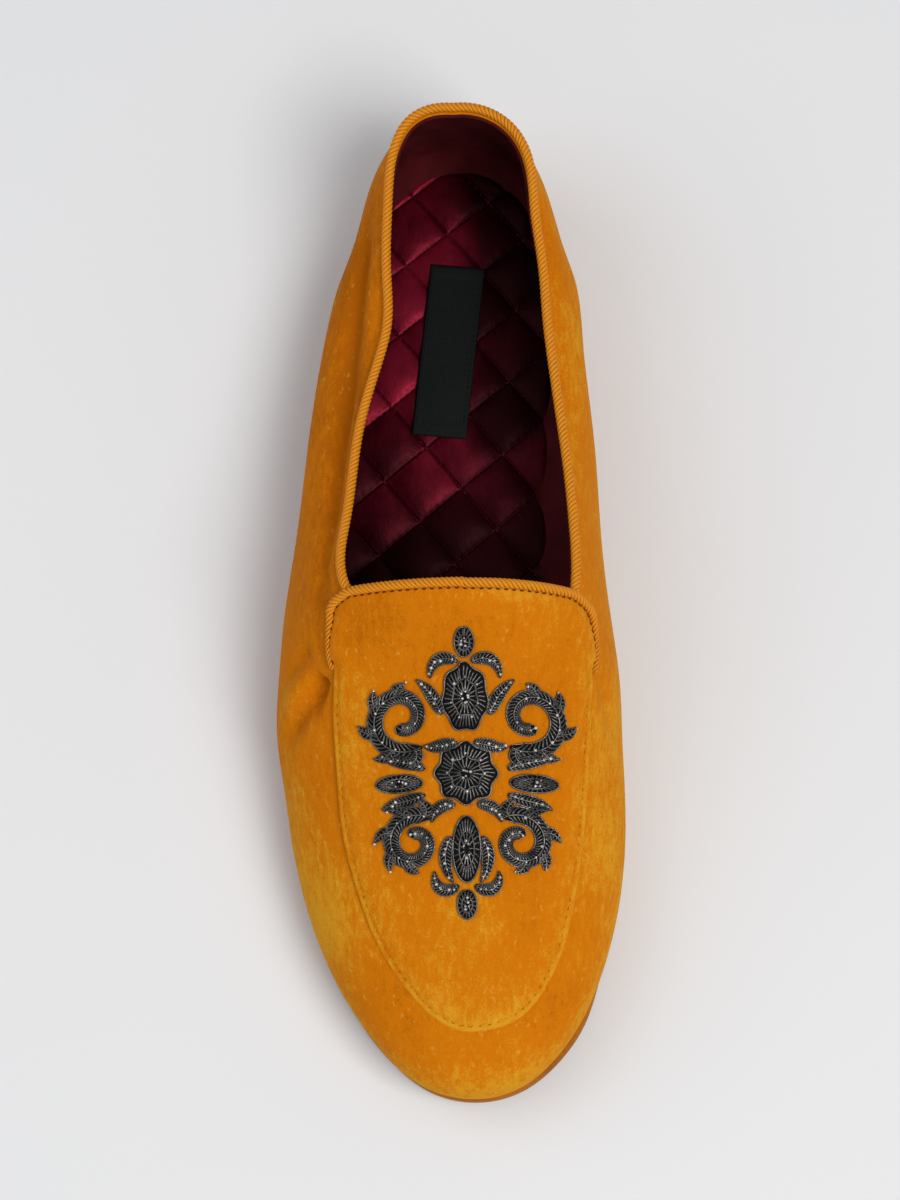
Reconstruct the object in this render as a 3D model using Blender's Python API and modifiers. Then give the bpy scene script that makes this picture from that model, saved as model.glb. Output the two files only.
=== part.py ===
"""Velvet slipper loafer for the right foot, as an assembly of separate solids.

Metres, +Z up. The toe points to -Y, the medial (big-toe) side is +X and the sole stands on z = 0.
The upper is lofted through sections of the last; the apron, back strip, pipings and embroidery are
laid on that same surface.
"""

import math
from typing import NamedTuple

import bmesh
import bpy
import numpy as np

# Driving sizes
LENGTH = 0.300
BALL_WIDTH = 0.1046
INSTEP_HEIGHT = 0.073
BACK_HEIGHT = 0.060
HEEL_HEIGHT = 0.009
SOLE_THICKNESS = 0.004
TOE_SPRING = 0.007
SWELL_HEIGHT = 0.013
WALL = 0.002
INSOLE_THICKNESS = 0.003
APRON_THICKNESS = 0.0013
STRIP_THICKNESS = 0.001
STRIP_WIDTH = 0.017
PIPING_RADIUS = 0.0015
BULLION_RADIUS = 0.0010
PATCH_THICKNESS = 0.0009
LABEL_WIDTH = 0.017
LABEL_LENGTH = 0.056
LABEL_THICKNESS = 0.0006
MOTIF_SIZE = 0.0195
GAP = 0.0003
LAY_GAP = 0.0007  # under a layer that lies on the curved upper

# How far the upper keeps inside the sole's outline, and what goes inside the upper
HEEL_TUCK = 0.0035
TOE_RIM = 0.0017
SEAT_INSET = 0.0020
HEEL_LEAN = 0.0045
INSOLE_CLEARANCE = 0.0006
HEEL_INSET = 0.0006

# Shares of the length from the back of the heel, 0, to the tip of the toe, 1
HEEL_BREAST = 0.25
FLAT_FROM = 0.58
FLAT_TO = 0.72
THROAT = 0.53
APRON_TIP = 0.943
INSOLE_FRONT = 0.985
LABEL_PLACE = 0.221
LABEL_SIDE = -0.0005
LABEL_TURN = math.radians(-6.0)

ROUNDNESS = 2.1  # exponent of the section's ellipse
SWELL_SHARE = 0.24  # share of the wall's rows below its widest line
SOFT_EDGE = 0.3  # share of a plate's thickness by which its edge is softened
BREAST_BOW = 0.005  # how far the heel's front face curves back
PIPING_STOP = 0.0045  # from the throat back to the ends of the collar piping

# Mesh steps
SIDE_RIBS = 17
TOE_RIBS = 15
WALL_ROWS = 13
PLATE_ROWS = 40
TAB_ROWS = 9
PATCH_STEPS = 20
LOBE_STEPS = 6
SCROLL_STEPS = 26


class Outline(NamedTuple):
    """One station of a flat outline: place as a share of the length, sides as shares of half the ball width."""

    s: float
    lat: float
    med: float


class Section(NamedTuple):
    """One section of the last.

    s is the place, lat and med the widest line as shares of half the ball width. swell is the height of
    that line above the sole as a share of SWELL_HEIGHT, crown the rise of the section's ellipse above it
    as a share of INSTEP_HEIGHT, and ridge the ellipse's middle as a share of half the ball width.
    """

    s: float
    lat: float
    med: float
    swell_lat: float
    swell_med: float
    crown_lat: float
    crown_med: float
    ridge: float


class Topline(NamedTuple):
    """Height of the collar at one station, as shares of BACK_HEIGHT."""

    s: float
    lat: float
    med: float


SOLE = [
    Outline(0.000, 0.06, 0.06),
    Outline(0.020, -0.28, 0.37),
    Outline(0.060, -0.44, 0.54),
    Outline(0.120, -0.53, 0.64),
    Outline(0.180, -0.58, 0.66),
    Outline(0.260, -0.62, 0.62),
    Outline(0.350, -0.67, 0.56),
    Outline(0.450, -0.74, 0.56),
    Outline(0.540, -0.83, 0.67),
    Outline(0.620, -0.89, 0.82),
    Outline(0.680, -0.88, 0.91),
    Outline(0.750, -0.81, 0.94),
    Outline(0.810, -0.73, 0.925),
    Outline(0.870, -0.635, 0.857),
    Outline(0.920, -0.50, 0.767),
    Outline(0.960, -0.32, 0.614),
    Outline(0.990, -0.10, 0.40),
    Outline(1.000, 0.153, 0.153),
]

LAST = [
    Section(0.000, 0.06, 0.06, 1.00, 1.00, 0.75, 0.75, 0.06),
    Section(0.020, -0.290, 0.400, 1.00, 1.00, 0.66, 0.82, 0.06),
    Section(0.060, -0.455, 0.572, 1.00, 1.00, 0.58, 0.75, 0.06),
    Section(0.115, -0.545, 0.668, 0.96, 1.04, 0.495, 0.60, 0.05),
    Section(0.180, -0.644, 0.757, 0.94, 1.18, 0.43, 0.505, 0.04),
    Section(0.260, -0.737, 0.807, 0.94, 1.30, 0.405, 0.455, 0.035),
    Section(0.350, -0.817, 0.861, 0.99, 1.34, 0.47, 0.50, 0.05),
    Section(0.450, -0.893, 0.896, 1.08, 1.23, 0.61, 0.67, 0.09),
    Section(0.530, -0.955, 0.950, 1.12, 1.12, 0.715, 0.715, 0.13),
    Section(0.580, -0.978, 0.985, 1.06, 1.06, 0.645, 0.645, 0.12),
    Section(0.640, -0.985, 0.997, 0.99, 0.99, 0.562, 0.562, 0.10),
    Section(0.690, -0.935, 1.000, 0.93, 0.93, 0.505, 0.505, 0.09),
    Section(0.750, -0.866, 0.985, 0.86, 0.86, 0.450, 0.450, 0.09),
    Section(0.810, -0.770, 0.936, 0.79, 0.79, 0.395, 0.395, 0.10),
    Section(0.870, -0.640, 0.850, 0.72, 0.72, 0.332, 0.332, 0.12),
    Section(0.920, -0.480, 0.735, 0.66, 0.66, 0.262, 0.262, 0.135),
    Section(0.960, -0.305, 0.585, 0.60, 0.60, 0.185, 0.185, 0.145),
    Section(0.990, -0.095, 0.385, 0.56, 0.56, 0.092, 0.092, 0.15),
    Section(1.000, 0.153, 0.153, 0.55, 0.55, 0.0, 0.0, 0.153),
]

COLLAR = [
    Topline(0.000, 1.000, 1.000),
    Topline(0.040, 0.985, 0.990),
    Topline(0.090, 0.930, 0.950),
    Topline(0.150, 0.880, 0.910),
    Topline(0.230, 0.855, 0.885),
    Topline(0.310, 0.850, 0.875),
    Topline(0.390, 0.880, 0.885),
    Topline(0.460, 0.945, 0.905),
    Topline(0.530, 1.035, 0.930),
]

# Edge of the apron: place, then how far out on each side, as shares of the section's own half-width
APRON = [
    Outline(0.530, 0.575, 0.70),
    Outline(0.536, 0.635, 0.77),
    Outline(0.546, 0.660, 0.805),
    Outline(0.562, 0.675, 0.825),
    Outline(0.580, 0.670, 0.82),
    Outline(0.596, 0.650, 0.805),
    Outline(0.620, 0.650, 0.80),
    Outline(0.660, 0.660, 0.785),
    Outline(0.730, 0.685, 0.765),
    Outline(0.810, 0.670, 0.745),
    Outline(0.870, 0.61, 0.71),
    Outline(0.907, 0.50, 0.63),
    Outline(0.930, 0.35, 0.48),
    Outline(0.943, 0.0, 0.0),
]
NOTCH = 0.596  # where the free tab ends and the apron's seam begins

# Finishes: linear base colour, roughness and metallic value
FINISHES = {
    "velvet": ((0.50, 0.155, 0.004), 0.85, 0.0),
    "piping": ((0.62, 0.21, 0.010), 0.70, 0.0),
    "sole_leather": ((0.33, 0.110, 0.012), 0.45, 0.0),
    "satin": ((0.150, 0.012, 0.024), 0.38, 0.0),
    "label": ((0.010, 0.013, 0.013), 0.75, 0.0),
    "bullion": ((0.045, 0.042, 0.040), 0.38, 0.85),
}

LATERAL = -1
MEDIAL = 1
SIDE_NAMES = {LATERAL: "lateral", MEDIAL: "medial"}


class Scroll(NamedTuple):
    """One spiral cord: its middle beside and above the rosette, radius, start angle and turns."""

    name: str
    beside: float
    above: float
    radius: float
    start: float
    turns: float


class Patch(NamedTuple):
    """One raised patch: its middle, half width and half length, lobes round its edge and their depth."""

    name: str
    beside: float
    above: float
    half_width: float
    half_length: float
    lobes: int
    depth: float


# The embroidery's motifs, in shares of MOTIF_SIZE from the rosette's middle
MOTIF_PLACE = 0.70
MOTIF_SIDE = 0.0065
MOTIF_GAP = 0.0004
INNER_CURL = 0.24  # radius at the end of a scroll, as a share of its outer radius
PATCHES = [
    Patch("rosette", 0.0, 0.0, 0.46, 0.46, 8, 0.13),
    Patch("palmette", 0.0, 1.08, 0.34, 0.50, 7, 0.10),
    Patch("finial", 0.0, 1.86, 0.14, 0.21, 0, 0.0),
    Patch("bud", 0.0, -1.10, 0.20, 0.48, 0, 0.0),
    Patch("foot", 0.0, -1.90, 0.14, 0.21, 0, 0.0),
]
LEAF = Patch("leaf", 0.97, -0.13, 0.34, 0.13, 0, 0.0)
SCROLLS = [
    Scroll("upper_scroll", 0.92, 0.80, 0.50, 235.0, 1.2),
    Scroll("lower_scroll", 0.76, -0.99, 0.42, 125.0, -1.2),
]


def spline(places, values):
    """Return a smooth function through the given values, a natural cubic spline."""
    x = np.asarray(places, float)
    y = np.asarray(values, float)
    h = np.diff(x)
    system = np.eye(len(x))
    right = np.zeros(len(x))
    for i in range(1, len(x) - 1):
        system[i, i - 1 : i + 2] = h[i - 1], 2 * (h[i - 1] + h[i]), h[i]
        right[i] = 6 * ((y[i + 1] - y[i]) / h[i] - (y[i] - y[i - 1]) / h[i - 1])
    bend = np.linalg.solve(system, right)

    def evaluate(at):
        at = np.clip(at, x[0], x[-1])
        i = np.clip(np.searchsorted(x, at) - 1, 0, len(x) - 2)
        a = x[i + 1] - at
        b = at - x[i]
        edge = (bend[i] * a**3 + bend[i + 1] * b**3) / (6 * h[i])
        left = (y[i] / h[i] - bend[i] * h[i] / 6) * a
        return edge + left + (y[i + 1] / h[i] - bend[i + 1] * h[i] / 6) * b

    return evaluate


def station(s):
    """Turn a share of the length into a station that closes both ends of an outline round."""
    return np.arccos(1 - 2 * np.clip(s, 0, 1)) / math.pi


def share(t):
    """Turn a station back into a share of the length."""
    return (1 - np.cos(math.pi * t)) / 2


def column(table, name, unit=1.0):
    """Return a spline over the stations of a table's column, in the column's unit."""
    places = station(np.array([row.s for row in table]))
    return spline(places, [getattr(row, name) * unit for row in table])


HALF_BALL = BALL_WIDTH / 2
HEEL_Y = LENGTH / 2 - STRIP_THICKNESS - LAY_GAP
TOE_Y = -LENGTH / 2
SHOE_LENGTH = HEEL_Y - TOE_Y


def side_line(table, name):
    """Return a spline of a table's sideways column, with the widest line centred on x = 0."""
    reach = np.linspace(0, 1, 400)
    low = column(LAST, "lat", HALF_BALL)(reach).min()
    high = column(LAST, "med", HALF_BALL)(reach).max()
    line = column(table, name, HALF_BALL)
    return lambda t: line(t) - (low + high) / 2


sole_side = {LATERAL: side_line(SOLE, "lat"), MEDIAL: side_line(SOLE, "med")}
swell_side = {LATERAL: side_line(LAST, "lat"), MEDIAL: side_line(LAST, "med")}
swell_rise = {
    LATERAL: column(LAST, "swell_lat", SWELL_HEIGHT),
    MEDIAL: column(LAST, "swell_med", SWELL_HEIGHT),
}
crown_rise = {
    LATERAL: column(LAST, "crown_lat", INSTEP_HEIGHT),
    MEDIAL: column(LAST, "crown_med", INSTEP_HEIGHT),
}
ridge_line = side_line(LAST, "ridge")
collar_height = {LATERAL: column(COLLAR, "lat", BACK_HEIGHT), MEDIAL: column(COLLAR, "med", BACK_HEIGHT)}


def place(y):
    """Return the share of the length at y."""
    return np.clip((HEEL_Y - y) / SHOE_LENGTH, 0, 1)


def sole_bottom(y):
    """Return the height of the sole's underside: heel seat, arch, flat tread and toe spring."""
    s = place(y)
    arch = np.clip((FLAT_FROM - s) / (FLAT_FROM - HEEL_BREAST), 0, 1)
    spring = np.clip((s - FLAT_TO) / (1 - FLAT_TO), 0, 1)
    return HEEL_HEIGHT * arch**2 * (3 - 2 * arch) + TOE_SPRING * spring**1.8


def sole_top(y):
    """Return the height of the sole's upper face."""
    return sole_bottom(y) + SOLE_THICKNESS


def sole_point(side, t, inset=0.0):
    """Return a plan point of the sole's outline, kept inside it by an inset."""
    back = HEEL_Y - HEEL_TUCK - inset
    front = TOE_Y + inset
    middle = (sole_side[LATERAL](t) + sole_side[MEDIAL](t)) / 2
    half = (sole_side[MEDIAL](t) - sole_side[LATERAL](t)) / 2
    kept = half - inset * np.minimum(1, half / (4 * inset)) if inset else half
    return middle + side * kept, back + (front - back) * share(t)


def swell_y(t):
    """Return the place of a station on the upper's widest line."""
    return HEEL_Y + (TOE_Y + TOE_RIM - HEEL_Y) * share(t)


def swell_station(y):
    """Return the station on the upper's widest line at y."""
    return station((HEEL_Y - y) / (HEEL_Y - TOE_Y - TOE_RIM))


def swell_point(side, t):
    """Return the point on the upper's widest line at a station."""
    y = swell_y(t)
    return swell_side[side](t), y, sole_top(y) + swell_rise[side](t)


def lower_wall(side, t, q):
    """Return a point between the feather edge (q = 0) and the widest line (q = 1)."""
    x0, y0 = sole_point(side, t, SEAT_INSET)
    z0 = sole_top(y0) + GAP
    x1, y1, z1 = swell_point(side, t)
    out = 1 - (1 - q) ** 2
    return np.stack([x0 + (x1 - x0) * out, y0 + (y1 - y0) * out, z0 + (z1 - z0) * q], -1)


def upper_wall(side, t, q):
    """Return a point between the widest line (q = 0) and the collar (q = 1)."""
    x, y, z = swell_point(side, t)
    climb = (collar_height[side](t) - z) / crown_rise[side](t) * q
    ridge = ridge_line(t)
    inward = (1 - np.clip(climb, 0, 1) ** ROUNDNESS) ** (1 / ROUNDNESS)
    fade = np.clip(1 - t / station(THROAT), 0, 1) ** 2
    lean = HEEL_LEAN * q**2 * fade
    return np.stack([ridge + (x - ridge) * inward, y - lean, z + crown_rise[side](t) * climb], -1)


def wall(side, t, v):
    """Return a point of the upper's outside from the feather edge (v = 0) to the collar (v = 1)."""
    t, v = np.broadcast_arrays(np.asarray(t, float), np.asarray(v, float))
    low = lower_wall(side, t, np.clip(v / SWELL_SHARE, 0, 1))
    high = upper_wall(side, t, np.clip((v - SWELL_SHARE) / (1 - SWELL_SHARE), 0, 1))
    return np.where((v < SWELL_SHARE)[..., None], low, high)


def crown(x, y):
    """Return the point of the upper's outside above a plan point, ahead of the throat."""
    x, y = np.broadcast_arrays(np.asarray(x, float), np.asarray(y, float))
    t = swell_station(y)
    ridge = ridge_line(t)
    med = x > ridge
    edge = np.where(med, swell_side[MEDIAL](t), swell_side[LATERAL](t))
    rise = np.where(med, crown_rise[MEDIAL](t), crown_rise[LATERAL](t))
    base = sole_top(swell_y(t)) + np.where(med, swell_rise[MEDIAL](t), swell_rise[LATERAL](t))
    span = edge - ridge
    out = np.clip((x - ridge) / np.where(abs(span) < 1e-6, 1e-6, span), 0, 1)
    return np.stack([x, y, base + rise * (1 - out**ROUNDNESS) ** (1 / ROUNDNESS)], -1)


def crown_normal(x, y, step=0.0004):
    """Return the outward unit normal of the crown above a plan point."""
    across = crown(x + step, y) - crown(x - step, y)
    along = crown(x, y + step) - crown(x, y - step)
    normal = np.cross(across, along)
    return normal / np.linalg.norm(normal, axis=-1, keepdims=True)


def raised(x, y, lift):
    """Return the point that stands a lift above the crown."""
    return crown(x, y) + crown_normal(x, y) * np.asarray(lift)[..., None]


def make_material(name):
    """Return the Principled material of a finish."""
    colour, roughness, metallic = FINISHES[name]
    material = bpy.data.materials.new(name)
    material.use_nodes = True
    shader = material.node_tree.nodes["Principled BSDF"]
    shader.inputs["Base Color"].default_value = (*colour, 1.0)
    shader.inputs["Roughness"].default_value = roughness
    shader.inputs["Metallic"].default_value = metallic
    material.diffuse_color = (*colour, 1.0)
    return material


def add_object(name, data, finish, collection):
    """Link an object with its own finish into a collection and return it."""
    data.materials.append(make_material(finish))
    thing = bpy.data.objects.new(name, data)
    collection.objects.link(thing)
    return thing


def add_mesh(name, points, faces, finish, collection):
    """Make an object from points and faces, welded where they meet and facing outwards."""
    mesh = bpy.data.meshes.new(name)
    mesh.from_pydata([tuple(p) for p in points], [], faces)
    work = bmesh.new()
    work.from_mesh(mesh)
    bmesh.ops.remove_doubles(work, verts=work.verts, dist=2e-6)
    bmesh.ops.recalc_face_normals(work, faces=work.faces)
    work.to_mesh(mesh)
    work.free()
    mesh.shade_smooth()
    mesh.set_sharp_from_angle(angle=math.radians(40))
    return add_object(name, mesh, finish, collection)


def grid_faces(rows, columns, start=0, closed=False):
    """Return the quads of a grid of points, closed round its rows when asked."""
    faces = []
    for i in range(rows if closed else rows - 1):
        following = (i + 1) % rows
        for j in range(columns - 1):
            a = start + i * columns + j
            b = start + following * columns + j
            faces.append((a, b, b + 1, a + 1))
    return faces


def add_sheet(name, grid, thickness, finish, collection, closed=False):
    """Make a sheet from a grid of points, thickened away from its face by Solidify."""
    rows, columns = grid.shape[:2]
    points = grid.reshape(-1, 3)
    sheet = add_mesh(name, points, grid_faces(rows, columns, 0, closed), finish, collection)
    work = bmesh.new()
    work.from_mesh(sheet.data)
    up = sum(face.normal.z * face.calc_area() for face in work.faces)
    if up < 0:
        bmesh.ops.reverse_faces(work, faces=work.faces)
    work.to_mesh(sheet.data)
    work.free()
    solidify = sheet.modifiers.new("Wall", "SOLIDIFY")
    solidify.thickness = abs(thickness)
    solidify.offset = math.copysign(1, thickness)
    solidify.use_even_offset = True
    return sheet


def add_plate(name, top, bottom, finish, collection):
    """Make a closed plate between two grids of the same shape."""
    rows, columns = top.shape[:2]
    count = rows * columns
    faces = grid_faces(rows, columns)
    faces += [face[::-1] for face in grid_faces(rows, columns, count)]
    rim = [i * columns for i in range(rows)]
    rim += [(rows - 1) * columns + j for j in range(1, columns)]
    rim += [i * columns + columns - 1 for i in range(rows - 2, -1, -1)]
    rim += list(range(columns - 2, 0, -1))
    for a, b in zip(rim, rim[1:] + rim[:1]):
        faces.append((a, a + count, b + count, b))
    points = np.concatenate([top.reshape(-1, 3), bottom.reshape(-1, 3)])
    return add_mesh(name, points, faces, finish, collection)


def add_cord(name, points, radius, finish, collection):
    """Make a round cord along a list of points."""
    curve = bpy.data.curves.new(name, "CURVE")
    curve.dimensions = "3D"
    curve.bevel_depth = radius
    curve.bevel_resolution = 2
    curve.use_fill_caps = True
    path = curve.splines.new("POLY")
    path.points.add(len(points) - 1)
    for point, place_of_point in zip(path.points, points):
        point.co = (*place_of_point, 1.0)
    return add_object(name, curve, finish, collection)


def plate_rows(first=0.0, last=1.0, rows=PLATE_ROWS):
    """Return stations from one share of the length to another."""
    return np.linspace(station(first), station(last), rows)


def softened(grid, drop):
    """Return a plate's face with its rim moved by a drop, which softens the edge all round."""
    rim = grid.copy()
    rim[:, [0, -1], 2] += drop
    rim[[0, -1], 1:-1, 2] += drop
    return rim


def add_outsole(collection):
    """Make the outsole: one board with a softened lower edge."""
    t = plate_rows()
    ends = {side: sole_point(side, t) for side in (LATERAL, MEDIAL)}
    y = ends[MEDIAL][1]
    across = np.array([0.0, 0.03, 0.97, 1.0])
    x = ends[LATERAL][0][:, None] * (1 - across) + ends[MEDIAL][0][:, None] * across
    y_grid = np.broadcast_to(y[:, None], x.shape)
    top = np.stack([x, y_grid, sole_top(y_grid)], -1)
    bottom = np.stack([x, y_grid, sole_bottom(y_grid)], -1)
    bottom = softened(bottom, SOLE_THICKNESS * SOFT_EDGE)
    return add_plate("outsole", top, bottom, "sole_leather", collection)


def add_heel(collection):
    """Make the low heel: the seat's outline with a bowed front face."""
    t = plate_rows(0.0, HEEL_BREAST, 14)
    lateral = np.stack(sole_point(LATERAL, t, HEEL_INSET), -1)
    medial = np.stack(sole_point(MEDIAL, t, HEEL_INSET), -1)
    ends = lateral[-1], medial[-1]
    breast = []
    for a in np.linspace(0, 1, 9)[1:-1]:
        point = ends[0] * (1 - a) + ends[1] * a
        breast.append(point + np.array([0.0, BREAST_BOW * math.sin(math.pi * a)]))
    outline = [*lateral, *breast, *medial[::-1][:-1]]
    curve = bpy.data.curves.new("heel", "CURVE")
    curve.dimensions = "2D"
    curve.fill_mode = "BOTH"
    height = HEEL_HEIGHT - GAP
    curve.extrude = height / 2
    path = curve.splines.new("POLY")
    path.use_cyclic_u = True
    path.points.add(len(outline) - 1)
    for point, corner in zip(path.points, outline):
        point.co = (corner[0], corner[1], 0.0, 1.0)
    heel = add_object("heel", curve, "sole_leather", collection)
    heel.location.z = height / 2
    return heel


def insole_grid(lift, inset=0.0):
    """Return the insole's face at a height above the sole's top, kept inside by an inset."""
    t = plate_rows(0.0, INSOLE_FRONT, 34)
    room = SEAT_INSET + WALL + INSOLE_CLEARANCE + inset
    sides = {side: sole_point(side, t, room) for side in (LATERAL, MEDIAL)}
    across = np.array([0.0, 0.08, 0.5, 0.92, 1.0])
    x = sides[LATERAL][0][:, None] * (1 - across) + sides[MEDIAL][0][:, None] * across
    y = np.broadcast_to(sides[MEDIAL][1][:, None], x.shape)
    return np.stack([x, y, sole_top(y) + lift], -1)


def add_insole(collection):
    """Make the padded insole, which lies on the sole inside the upper."""
    top = softened(insole_grid(GAP + INSOLE_THICKNESS), -INSOLE_THICKNESS * SOFT_EDGE)
    bottom = insole_grid(GAP)
    return add_plate("insole", top, bottom, "satin", collection)


def add_label(collection):
    """Make the bare label on the insole's heel seat."""
    middle_y = HEEL_Y - SHOE_LENGTH * LABEL_PLACE
    u, v = np.meshgrid(np.linspace(-0.5, 0.5, 2), np.linspace(-0.5, 0.5, 8))
    x = LABEL_SIDE + LABEL_WIDTH * u * math.cos(LABEL_TURN) - LABEL_LENGTH * v * math.sin(LABEL_TURN)
    y = middle_y + LABEL_WIDTH * u * math.sin(LABEL_TURN) + LABEL_LENGTH * v * math.cos(LABEL_TURN)
    z = sole_top(y) + INSOLE_THICKNESS + 2 * GAP
    grid = np.stack([x, y, z], -1)
    top = grid + np.array([0.0, 0.0, LABEL_THICKNESS])
    return add_plate("insole_label", top, grid, "label", collection)


def upper_grid():
    """Return the upper's outside as ribs from the feather edge to the collar or the throat."""
    levels = np.concatenate(
        [np.linspace(0, SWELL_SHARE, 4)[:-1], np.linspace(SWELL_SHARE, 1, WALL_ROWS - 3)]
    )
    throat = float(swell_station(HEEL_Y - SHOE_LENGTH * THROAT))
    back = np.linspace(0, throat, SIDE_RIBS)
    medial = wall(MEDIAL, back[:, None], levels[None, :])
    lateral = wall(LATERAL, back[:, None], levels[None, :])
    corners = lateral[-1, -1], medial[-1, -1]
    ribs = 2 * TOE_RIBS
    front = []
    for i in range(1, ribs):
        turn = i / ribs
        side = MEDIAL if turn < 0.5 else LATERAL
        t = throat + (1 - throat) * (1 - abs(1 - 2 * turn))
        low = lower_wall(side, np.full(4, t), np.linspace(0, 1, 4))[:-1]
        start = np.array(swell_point(side, t)[:2])
        end = corners[1][:2] * (1 - turn) + corners[0][:2] * turn
        r = np.linspace(0, 1, WALL_ROWS - 3)
        out = 1 - np.cos(r * math.pi / 2)
        reach = (out * (1 - r) + r * r)[:, None]
        plan = start + (end - start) * reach
        front.append(np.concatenate([low, crown(plan[:, 0], plan[:, 1])]))
    return np.concatenate([medial, np.array(front), lateral[::-1][:-1]])


def add_upper(collection):
    """Make the upper: one hollow wall, open at the collar, the throat and underneath."""
    return add_sheet("upper", upper_grid(), -WALL, "velvet", collection, closed=True)


def apron_rows(rows):
    """Return places along the apron, closer together round its tab and towards its tip."""
    tab = np.linspace(0, 1, TAB_ROWS)[:-1] ** 1.4 * (NOTCH - THROAT)
    notch = math.asin((NOTCH - THROAT) / (APRON_TIP - THROAT))
    seam = (APRON_TIP - THROAT) * np.sin(np.linspace(notch, math.pi / 2, rows))
    return THROAT + np.concatenate([tab, seam])


def apron_reach():
    """Return splines of the apron's edge for each side, over its own round-ended station."""
    places = np.array([row.s for row in APRON])
    turn = np.arcsin(np.clip((places - THROAT) / (APRON_TIP - THROAT), 0, 1))
    lateral = spline(turn, [row.lat for row in APRON])
    medial = spline(turn, [row.med for row in APRON])
    return {LATERAL: lateral, MEDIAL: medial}


def apron_edge(side, s):
    """Return a plan point on the apron's edge."""
    turn = np.arcsin(np.clip((s - THROAT) / (APRON_TIP - THROAT), 0, 1))
    y = HEEL_Y - SHOE_LENGTH * s
    t = swell_station(y)
    ridge = ridge_line(t)
    return ridge + (swell_side[side](t) - ridge) * apron_reach()[side](turn), y


def apron_grid(rows=16, columns=15):
    """Return the apron's underside, a gap above the upper."""
    s = apron_rows(rows)
    left, y = apron_edge(LATERAL, s)
    right, _ = apron_edge(MEDIAL, s)
    across = (1 - np.cos(np.linspace(0, math.pi, columns))) / 2
    across = 0.5 * across + 0.5 * np.linspace(0, 1, columns)
    x = left[:, None] * (1 - across) + right[:, None] * across
    y = np.broadcast_to(y[:, None], x.shape)
    return raised(x, y, np.full(x.shape, LAY_GAP))


def add_apron(collection):
    """Make the apron, one layer over the vamp with a free tab at the throat."""
    return add_sheet("apron", apron_grid(), APRON_THICKNESS, "velvet", collection)


def add_collar_piping(collection):
    """Make the rope piping that stands on the collar's edge."""
    throat = float(swell_station(HEEL_Y - SHOE_LENGTH * THROAT + PIPING_STOP))
    t = np.linspace(0, throat, 32)
    path = []
    for side, stations in ((LATERAL, t[::-1]), (MEDIAL, t[1:])):
        rim = wall(side, stations, 1.0)
        below = wall(side, stations, 0.97)
        along = rim - below
        along /= np.linalg.norm(along, axis=-1, keepdims=True)
        beside = wall(side, np.clip(stations + 0.01, 0, 1), 1.0) - wall(side, np.clip(stations - 0.01, 0, 1), 1.0)
        inward = np.cross(along, beside) * side
        inward /= np.linalg.norm(inward, axis=-1, keepdims=True)
        path.append(rim + inward * WALL / 2 + along * (PIPING_RADIUS + GAP))
    add_cord("collar_piping", np.concatenate(path), PIPING_RADIUS, "piping", collection)


def tab_edge(spacing=22):
    """Return plan points round the tab's free edge, from its lateral notch to its medial one."""
    s = np.linspace(NOTCH, THROAT, spacing // 2)
    lateral = np.stack(apron_edge(LATERAL, s), -1)
    medial = np.stack(apron_edge(MEDIAL, s[::-1]), -1)
    a = np.linspace(0, 1, spacing)[1:-1, None]
    return np.concatenate([lateral, lateral[-1] * (1 - a) + medial[0] * a, medial])


def add_apron_piping(collection):
    """Make the rope piping round the tab's free edge."""
    plan = tab_edge()
    run = np.gradient(plan, axis=0)
    out = np.stack([-run[:, 1], run[:, 0]], -1)
    out /= np.linalg.norm(out, axis=1, keepdims=True)
    for _ in range(3):
        out[1:-1] = out[:-2] + out[1:-1] + out[2:]
        out /= np.linalg.norm(out, axis=1, keepdims=True)
    plan = plan + out * (PIPING_RADIUS + GAP)
    path = raised(plan[:, 0], plan[:, 1], np.full(len(plan), PIPING_RADIUS + LAY_GAP))
    add_cord("apron_piping", path, PIPING_RADIUS, "piping", collection)


def add_heel_strip(collection):
    """Make the strip over the seam at the back of the heel."""
    reach = np.linspace(0, float(station(0.12)), 60)
    half = (swell_side[MEDIAL](reach) - swell_side[LATERAL](reach)) / 2
    edge = float(np.interp(STRIP_WIDTH / 2, half, reach))
    levels = np.linspace(0.06, 0.98, 10)
    ribs = []
    for a in np.linspace(-1, 1, 9):
        side = MEDIAL if a > 0 else LATERAL
        ribs.append(wall(side, abs(a) * edge, levels))
    grid = np.array(ribs)
    across = np.gradient(grid, axis=0)
    along = np.gradient(grid, axis=1)
    out = np.cross(across, along)
    out /= np.linalg.norm(out, axis=-1, keepdims=True)
    out *= np.sign(out[..., 1:2])
    gap_side = grid + out * LAY_GAP
    return add_plate("heel_strip", gap_side + out * STRIP_THICKNESS, gap_side, "velvet", collection)


def motif_point(beside, above, lift):
    """Return the point over the apron that lies beside and above the rosette's middle."""
    x = MOTIF_SIDE + beside * MOTIF_SIZE
    y = HEEL_Y - SHOE_LENGTH * MOTIF_PLACE + above * MOTIF_SIZE
    return raised(x, y, lift)


def add_patch(patch, side, label, collection):
    """Make one raised patch of thread, a lobed ellipse over the apron."""
    steps = max(PATCH_STEPS, LOBE_STEPS * patch.lobes)
    turn = np.linspace(0, 2 * math.pi, steps, endpoint=False)
    reach = 1 - patch.depth * (1 - np.cos(patch.lobes * turn)) / 2
    rings = np.array([1e-6, 0.55, 1.0])
    beside = side * patch.beside + patch.half_width * np.outer(np.sin(turn) * reach, rings)
    above = patch.above + patch.half_length * np.outer(np.cos(turn) * reach, rings)
    lift = np.full(beside.shape, LAY_GAP + APRON_THICKNESS + MOTIF_GAP)
    grid = motif_point(beside, above, lift)
    add_sheet("embroidery_" + label, grid, PATCH_THICKNESS, "bullion", collection, closed=True)


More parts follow.
